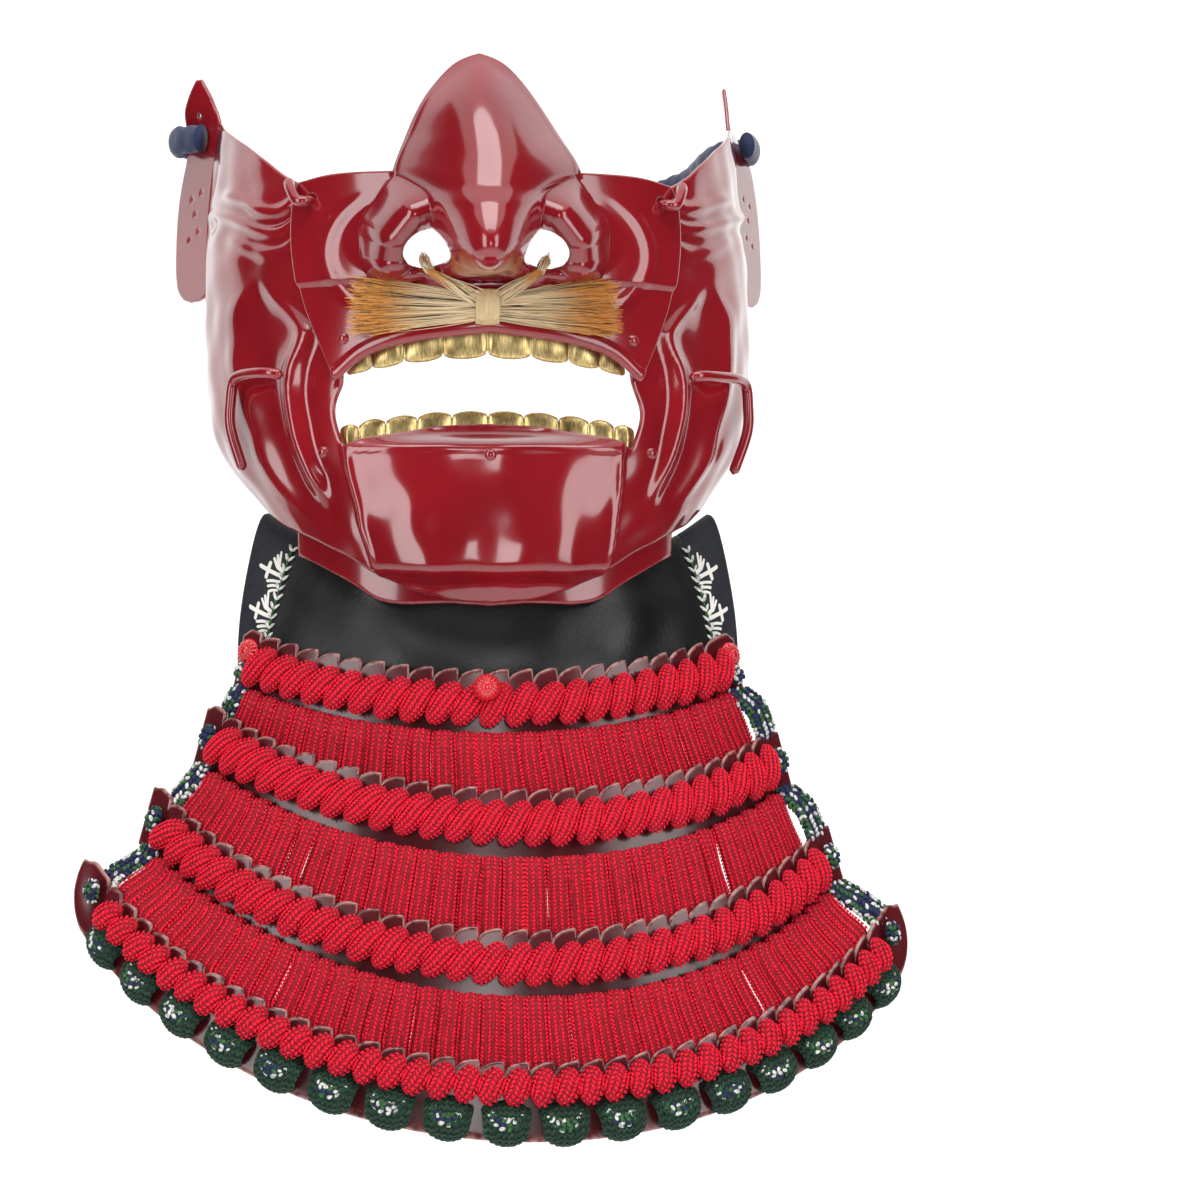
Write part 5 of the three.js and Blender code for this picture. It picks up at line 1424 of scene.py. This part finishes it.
for i, lame in enumerate(LAMES):
    (points, quads), places = leaf_row(lame, 20 + i)
    # the core's low tone 0.12 is painted shade between the stitches
    made = stitched(f"leaf_rope_{i + 1}", (points, quads, 0.12), places, RED_SILK, 1.5, 0.85, 0.6, seed=3 + i, sides=5)
    hand_over(made, "red_braid", f"rope_lacing_{i + 1}")

# %% [markdown]
# ## Flat laces from lame to lame
# From under each lame a row of flat braids hangs to the next one and slips behind its heads. They
# are a little uneven: some narrower, some turned on edge, with dark gaps between.

# %% Laces
def catmull(points, t):
    """A curve through five places; t runs from 0 to 1."""
    p = np.stack(points)
    p = np.concatenate([2 * p[:1] - p[1:2], p, 2 * p[-1:] - p[-2:-1]])
    at = np.clip(np.asarray(t) * (len(points) - 1), 0, len(points) - 1 - 1e-9)
    i = at.astype(int)
    f = (at - i)[:, None]
    a, b, c, d = p[i], p[i + 1], p[i + 2], p[i + 3]
    return 0.5 * (2 * b + (c - a) * f + (2 * a - 5 * b + 4 * c - d) * f**2 + (3 * b - a - 3 * c + d) * f**3)


def lace_path(upper, lower, u, t, shift=0.0):
    out = IRON / 2 + GAP + 1.7
    one = lambda lame, w, off: off_lame(lame, float(u), float(w), float(off))
    start, over = one(upper, 0.78, out + 0.1), one(upper, 0.98, out + 1.1)
    behind, end = one(lower, 0.04, -out), one(lower, 0.36, -out)
    path = catmull([start, over, mix(over, behind, 0.5), behind, end], t)
    return path + vec(shift, 0, 0) * np.sin(math.pi * np.asarray(t))[:, None]


def lace_row(upper, lower, seed):
    rng = np.random.default_rng(seed)
    count = head_count(lower)
    cores, places = [], []
    t = np.linspace(0, 1, 26)
    for k in range(count):
        u = mix(-0.9, 0.9, (k + 0.5) / count)
        odd = rng.random() < 0.14
        path = lace_path(upper, lower, u, t, rng.normal(0, 0.35))
        right = lace_path(upper, lower, u + 0.01, t) - lace_path(upper, lower, u - 0.01, t)
        pitch = np.linalg.norm(right, axis=1) / 0.02 * (1.8 / count)
        outward = unit(np.cross(unit(np.gradient(path, axis=0)), unit(right)))
        outward = outward * np.sign(-outward[:, 1:2])
        turn = math.radians(rng.normal(0, 9) + (rng.choice([-1, 1]) * 20 if odd else 0)) * np.sin(math.pi * t)[:, None]
        outward = outward * np.cos(turn) + unit(right) * np.sin(turn)
        narrow = rng.uniform(0.94, 1.08)
        top = np.sqrt(np.clip(1 - (1 - np.clip(t / 0.07, 0, 1)) ** 2, 0.08, 1))
        wide = pitch * 0.63 * narrow * top
        deep = 1.55 * top
        core, spots = braid(path, outward, wide, deep, 1.05, 6, 0.6, 72, 0.5 + rng.normal(0, 0.04), rng)
        cores.append(core)
        places.append(spots)
    return gather(*cores), join_places(places)


for i, (upper_lame, lower_lame) in enumerate(zip(LAMES, LAMES[1:])):
    (points, quads), places = lace_row(upper_lame, lower_lame, 40 + i)
    # the core's low tone 0.08 is painted shade between the stitches
    made = stitched(f"flat_laces_{i + 1}", (points, quads, 0.08), places, RED_SILK, 1.5, 0.8, 0.5, seed=9 + i, sides=4)
    hand_over(made, "red_braid", f"lacing_{i + 1}")

# %% [markdown]
# ## Rosette studs
# Three red studs hold the ends and the middle of the top lame: a low dome with petals.

# %% Studs
def rosette(place, normal, radius=3.7, height=2.6):
    side = unit(np.cross(normal, np.array([0, 0, 1.0])))
    up = np.cross(side, normal)
    angle = np.linspace(0, 2 * math.pi, 96, endpoint=False)
    rings = [(1, 0), (1.02, 0.1), (0.98, 0.24), (0.9, 0.42), (0.8, 0.58), (0.66, 0.72), (0.5, 0.8), (0.44, 0.72), (0.38, 0.84), (0.26, 0.96), (0.1, 1)]
    points = []
    for r, h in rings:
        petal = 0.07 * np.cos(16 * angle) * np.clip((r - 0.42) * 4, 0, 1) * (h > 0)
        reach = radius * (r + 0.4 * petal)
        rise = height * (h + petal)
        points.append(place + np.cos(angle)[:, None] * side * reach[:, None] + np.sin(angle)[:, None] * up * reach[:, None] + normal * rise[:, None])
    index = np.arange(len(rings) * 96).reshape(len(rings), 96)
    nxt = np.roll(index, -1, 1)
    quads = np.stack([index[:-1], nxt[:-1], nxt[1:], index[1:]], -1).reshape(-1, 4)
    caps = []
    for row, turn in ((0, 1), (len(rings) - 1, -1)):
        loop = index[row]
        caps += [[loop[k], loop[95 - k], loop[94 - k], loop[k + 1]][::turn] for k in range(47)]
    return np.concatenate(points), np.concatenate([quads, np.array(caps)])


for name, u, w, out in (("left", -0.955, 0.3, 0.95), ("centre", -0.03, 0.24, 7), ("right", 0.955, 0.3, 0.95)):
    normal = lame_normal(LAMES[0], u, w)
    points, quads = rosette(off_lame(LAMES[0], u, w, out), normal)
    made = make_object(f"petal_stud_{name}", points, quads, STUD_LACQUER, {"edge": ("FLOAT", np.zeros(len(points)))})
    hand_over(made, "stud", f"rosette_{name}")

# %% [markdown]
# ## Side lacing in three colours
# At each end of a lame a braid of white, navy and green makes a small knot and then a loop down
# to the next lame. The stitch's own number picks its colour.

# %% Mixed braid
MIXED, tree, shader = new_material("mixed_braid", 0.8)
where = add(tree, "ShaderNodeTexCoord").outputs["Object"]
fibre = add(tree, "ShaderNodeTexNoise", {"Vector": where, "Scale": 1400, "Detail": 3}).outputs[0]
pick = add(tree, "ShaderNodeAttribute", attribute_name="shade").outputs["Fac"]
navy_green = blend(tree, mapped(tree, pick, 0.32, 0.34), (0.012, 0.022, 0.085, 1), (0.04, 0.14, 0.035, 1))
three = blend(tree, mapped(tree, pick, 0.60, 0.62), navy_green, (0.78, 0.78, 0.74, 1))
darker = blend(tree, mapped(tree, fibre, 0.3, 0.6), (0.35, 0.35, 0.35, 1), (1, 1, 1, 1))
tree.links.new(blend(tree, 1.0, three, darker, "MULTIPLY"), shader.inputs["Base Color"])
bump(tree, shader, fibre, 0.6, 0.2)


def mixed(name, slot, nodes, path, outward, wide, deep, seed, columns=6):
    rng = np.random.default_rng(seed)
    core, places = braid(path, outward, wide, deep, 1.35, columns, 0.7, 82, 0.5)
    count = len(places["shade"])
    run = np.arange(count)
    places["shade"] = (((run * 7) // 3 + rng.integers(0, 3, count)) % 3) / 3 + 0.15
    made = stitched(name, (*core, 0.1), places, MIXED, 2.0, 1.25, 0.8, seed=seed, sides=6)
    return hand_over(made, slot, *nodes)


KNOTS = ((0.938, 0.6, 0.7), (0.94, 0.42, 1), (0.945, 0.42, 1), (0.945, 0.26, 0.9))
for side_name, sign in (("left", -1), ("right", 1)):
    for i, lame in enumerate(LAMES):
        u, w, high = KNOTS[i]
        t = np.linspace(-1, 1, 13)
        down = lame_point(lame, sign * u, 1.0) - lame_point(lame, sign * u, 0.0)
        normal = lame_normal(lame, sign * u, w)
        path = lame_point(lame, sign * u, w) + unit(down) * (t * 3.8 * high)[:, None] + normal * (2.7 + 0.5 * (1 - t * t))[:, None]
        shape = np.sqrt(np.clip(1 - t * t * 0.94, 0.05, 1))
        mixed(f"end_knot_{side_name}_{i + 1}", "mixed_braid", (f"side_knot_{side_name}_{i + 1}",), path, np.broadcast_to(normal, path.shape), 2.6 * shape, 2.0 * shape, 60 + i + 10 * (sign > 0))
        if i == 0:
            continue
        t = np.linspace(0, 1, 26)
        u = 0.933
        path = lace_path(LAMES[i - 1], lame, sign * u, t)
        path[:, 0] += sign * (0.6 if sign < 0 else 3.4) * ease(0.1, 0.4, t) * (1 - ease(0.6, 0.95, t))
        right = lace_path(LAMES[i - 1], lame, sign * u + 0.01, t) - lace_path(LAMES[i - 1], lame, sign * u - 0.01, t)
        outward = unit(np.cross(np.gradient(path, axis=0), right))
        outward = outward * np.sign(-outward[:, 1:2])
        shape = np.sqrt(np.clip(1 - (1 - np.clip(t / 0.1, 0, 1)) ** 2, 0.1, 1))
        wide = (3.2 if sign < 0 else 4.4) * shape
        mixed(f"end_loop_{side_name}_{i}", "mixed_braid", (f"side_loop_{side_name}_{i}",), path, outward, wide, 1.6 * shape, 80 + i + 10 * (sign > 0))

# %% [markdown]
# ## Hem knots
# Along the hem of the lowest lame, dark green yarn is wound round the edge in fat knots, and a
# short arc of the mixed braid lies on top of each.

# %% Seventeen knots
def winding(frame_at, seed):
    """Yarn wound round the hem: loops side by side, fullest in the middle."""
    rng = np.random.default_rng(seed)
    foot, outward, down, across = frame_at
    cores, places = [], []
    for k, x in enumerate(np.linspace(-1, 1, 8)):
        full = math.sqrt(1 - 0.55 * x * x)
        t = np.linspace(0.02, 1, 22)
        angle = mix(-0.55 * math.pi, 0.72 * math.pi, t)
        reach_out, reach_down = 4.4 * full + 0.5, 5.0 * full
        path = foot + across * (x * 5.0 + 0.6 * np.sin(3 * t + x))[:, None]
        path = path + outward * (0.3 + reach_out * np.cos(angle) * np.where(np.cos(angle) > 0, 1, 0.55))[:, None]
        path = path - down * 4.2 + down * (reach_down * np.sin(angle))[:, None]
        rim = path - (foot - down * 4.2)
        core, spots = braid(path, unit(rim - across * (rim @ across)[:, None] * 0.6), np.full(22, 1.15), np.full(22, 1.1), 1.5, 5, 0.5, 80, 0.5 + rng.normal(0, 0.08), rng)
        cores.append(core)
        places.append(spots)
    return gather(*cores), join_places(places)


hem = LAMES[3]
for k in range(17):
    u = mix(-0.915, 0.915, k / 16)
    outward = lame_normal(hem, u, 1.0)
    run = unit(lame_point(hem, u + 0.01, 1.0) - lame_point(hem, u - 0.01, 1.0))
    down = unit(np.cross(run, outward))
    down = down * np.sign(-down[2])
    across = unit(np.cross(outward, down))
    foot = lame_point(hem, u, 1.0)
    (points, quads), places = winding((foot, outward, down, across), 100 + k)
    # the core's low tone 0.2 is painted shade between the loops' stitches
    ball = stitched(f"yarn_knot_{k + 1:02d}", (points, quads, 0.2), places, GREEN_WOOL, 2.2, 0.7, 0.45, seed=k, sides=4)
    hand_over(ball, "green_braid", f"hem_knot_{k + 1:02d}")
    t = np.linspace(-1, 1, 17)
    arc = foot + across * (t * 4.4)[:, None] - down * (3.8 + 3.2 * t * t)[:, None]
    arc = arc + outward * (5.4 - 1.6 * t * t)[:, None]
    shape = np.sqrt(np.clip(1 - t * t * 0.8, 0.1, 1))
    mixed(f"hem_arc_{k + 1:02d}", "mixed_braid", (), arc, np.broadcast_to(outward, arc.shape), 1.7 * shape, 1.1 * shape, 130 + k, 5)

# %% [markdown]
# ## Seam stitches
# A row of V stitches in white, with green between them, joins leather and band.

# %% Seams
for side_name, sign in (("left", -1), ("right", 1)):
    count = 13
    v = np.linspace(0.1, 0.86, count)
    spots = {"point": [], "outward": [], "along": [], "size": [], "shade": []}
    for leg in (-1, 0, 1):
        g = np.full(count, sign * 0.86)
        here = neck_point(g, v)
        downward = unit(neck_point(g, v + 0.01) - neck_point(g, v - 0.01))
        sidewise = unit(neck_point(g + 0.01, v) - neck_point(g - 0.01, v))
        out = unit(np.cross(sidewise, downward))
        out = out * np.sign(-out[:, 1:2])
        spots["point"].append(here + out * 1.25 + sidewise * leg * 0.75 + downward * (0 if leg else 1.6))
        spots["outward"].append(out)
        spots["along"].append(unit(downward - sidewise * leg * 0.75))
        spots["size"].append(np.full(count, 1.0 if leg else 0.75))
        spots["shade"].append(np.full(count, 0.8 if leg else 0.48))
    spots = {key: np.concatenate(value) for key, value in spots.items()}
    base = rod([neck_point(np.array([sign * 0.86]), np.array([w]))[0] + out[0] * 0.6 for w in (0.08, 0.3, 0.5, 0.7, 0.88)], 0.35, 40, 8)
    seam = stitched(f"band_seam_{side_name}", (*base, 0.48), spots, MIXED, 3.0, 1.0, 0.7, seed=5, sides=8)
    hand_over(seam, "band")
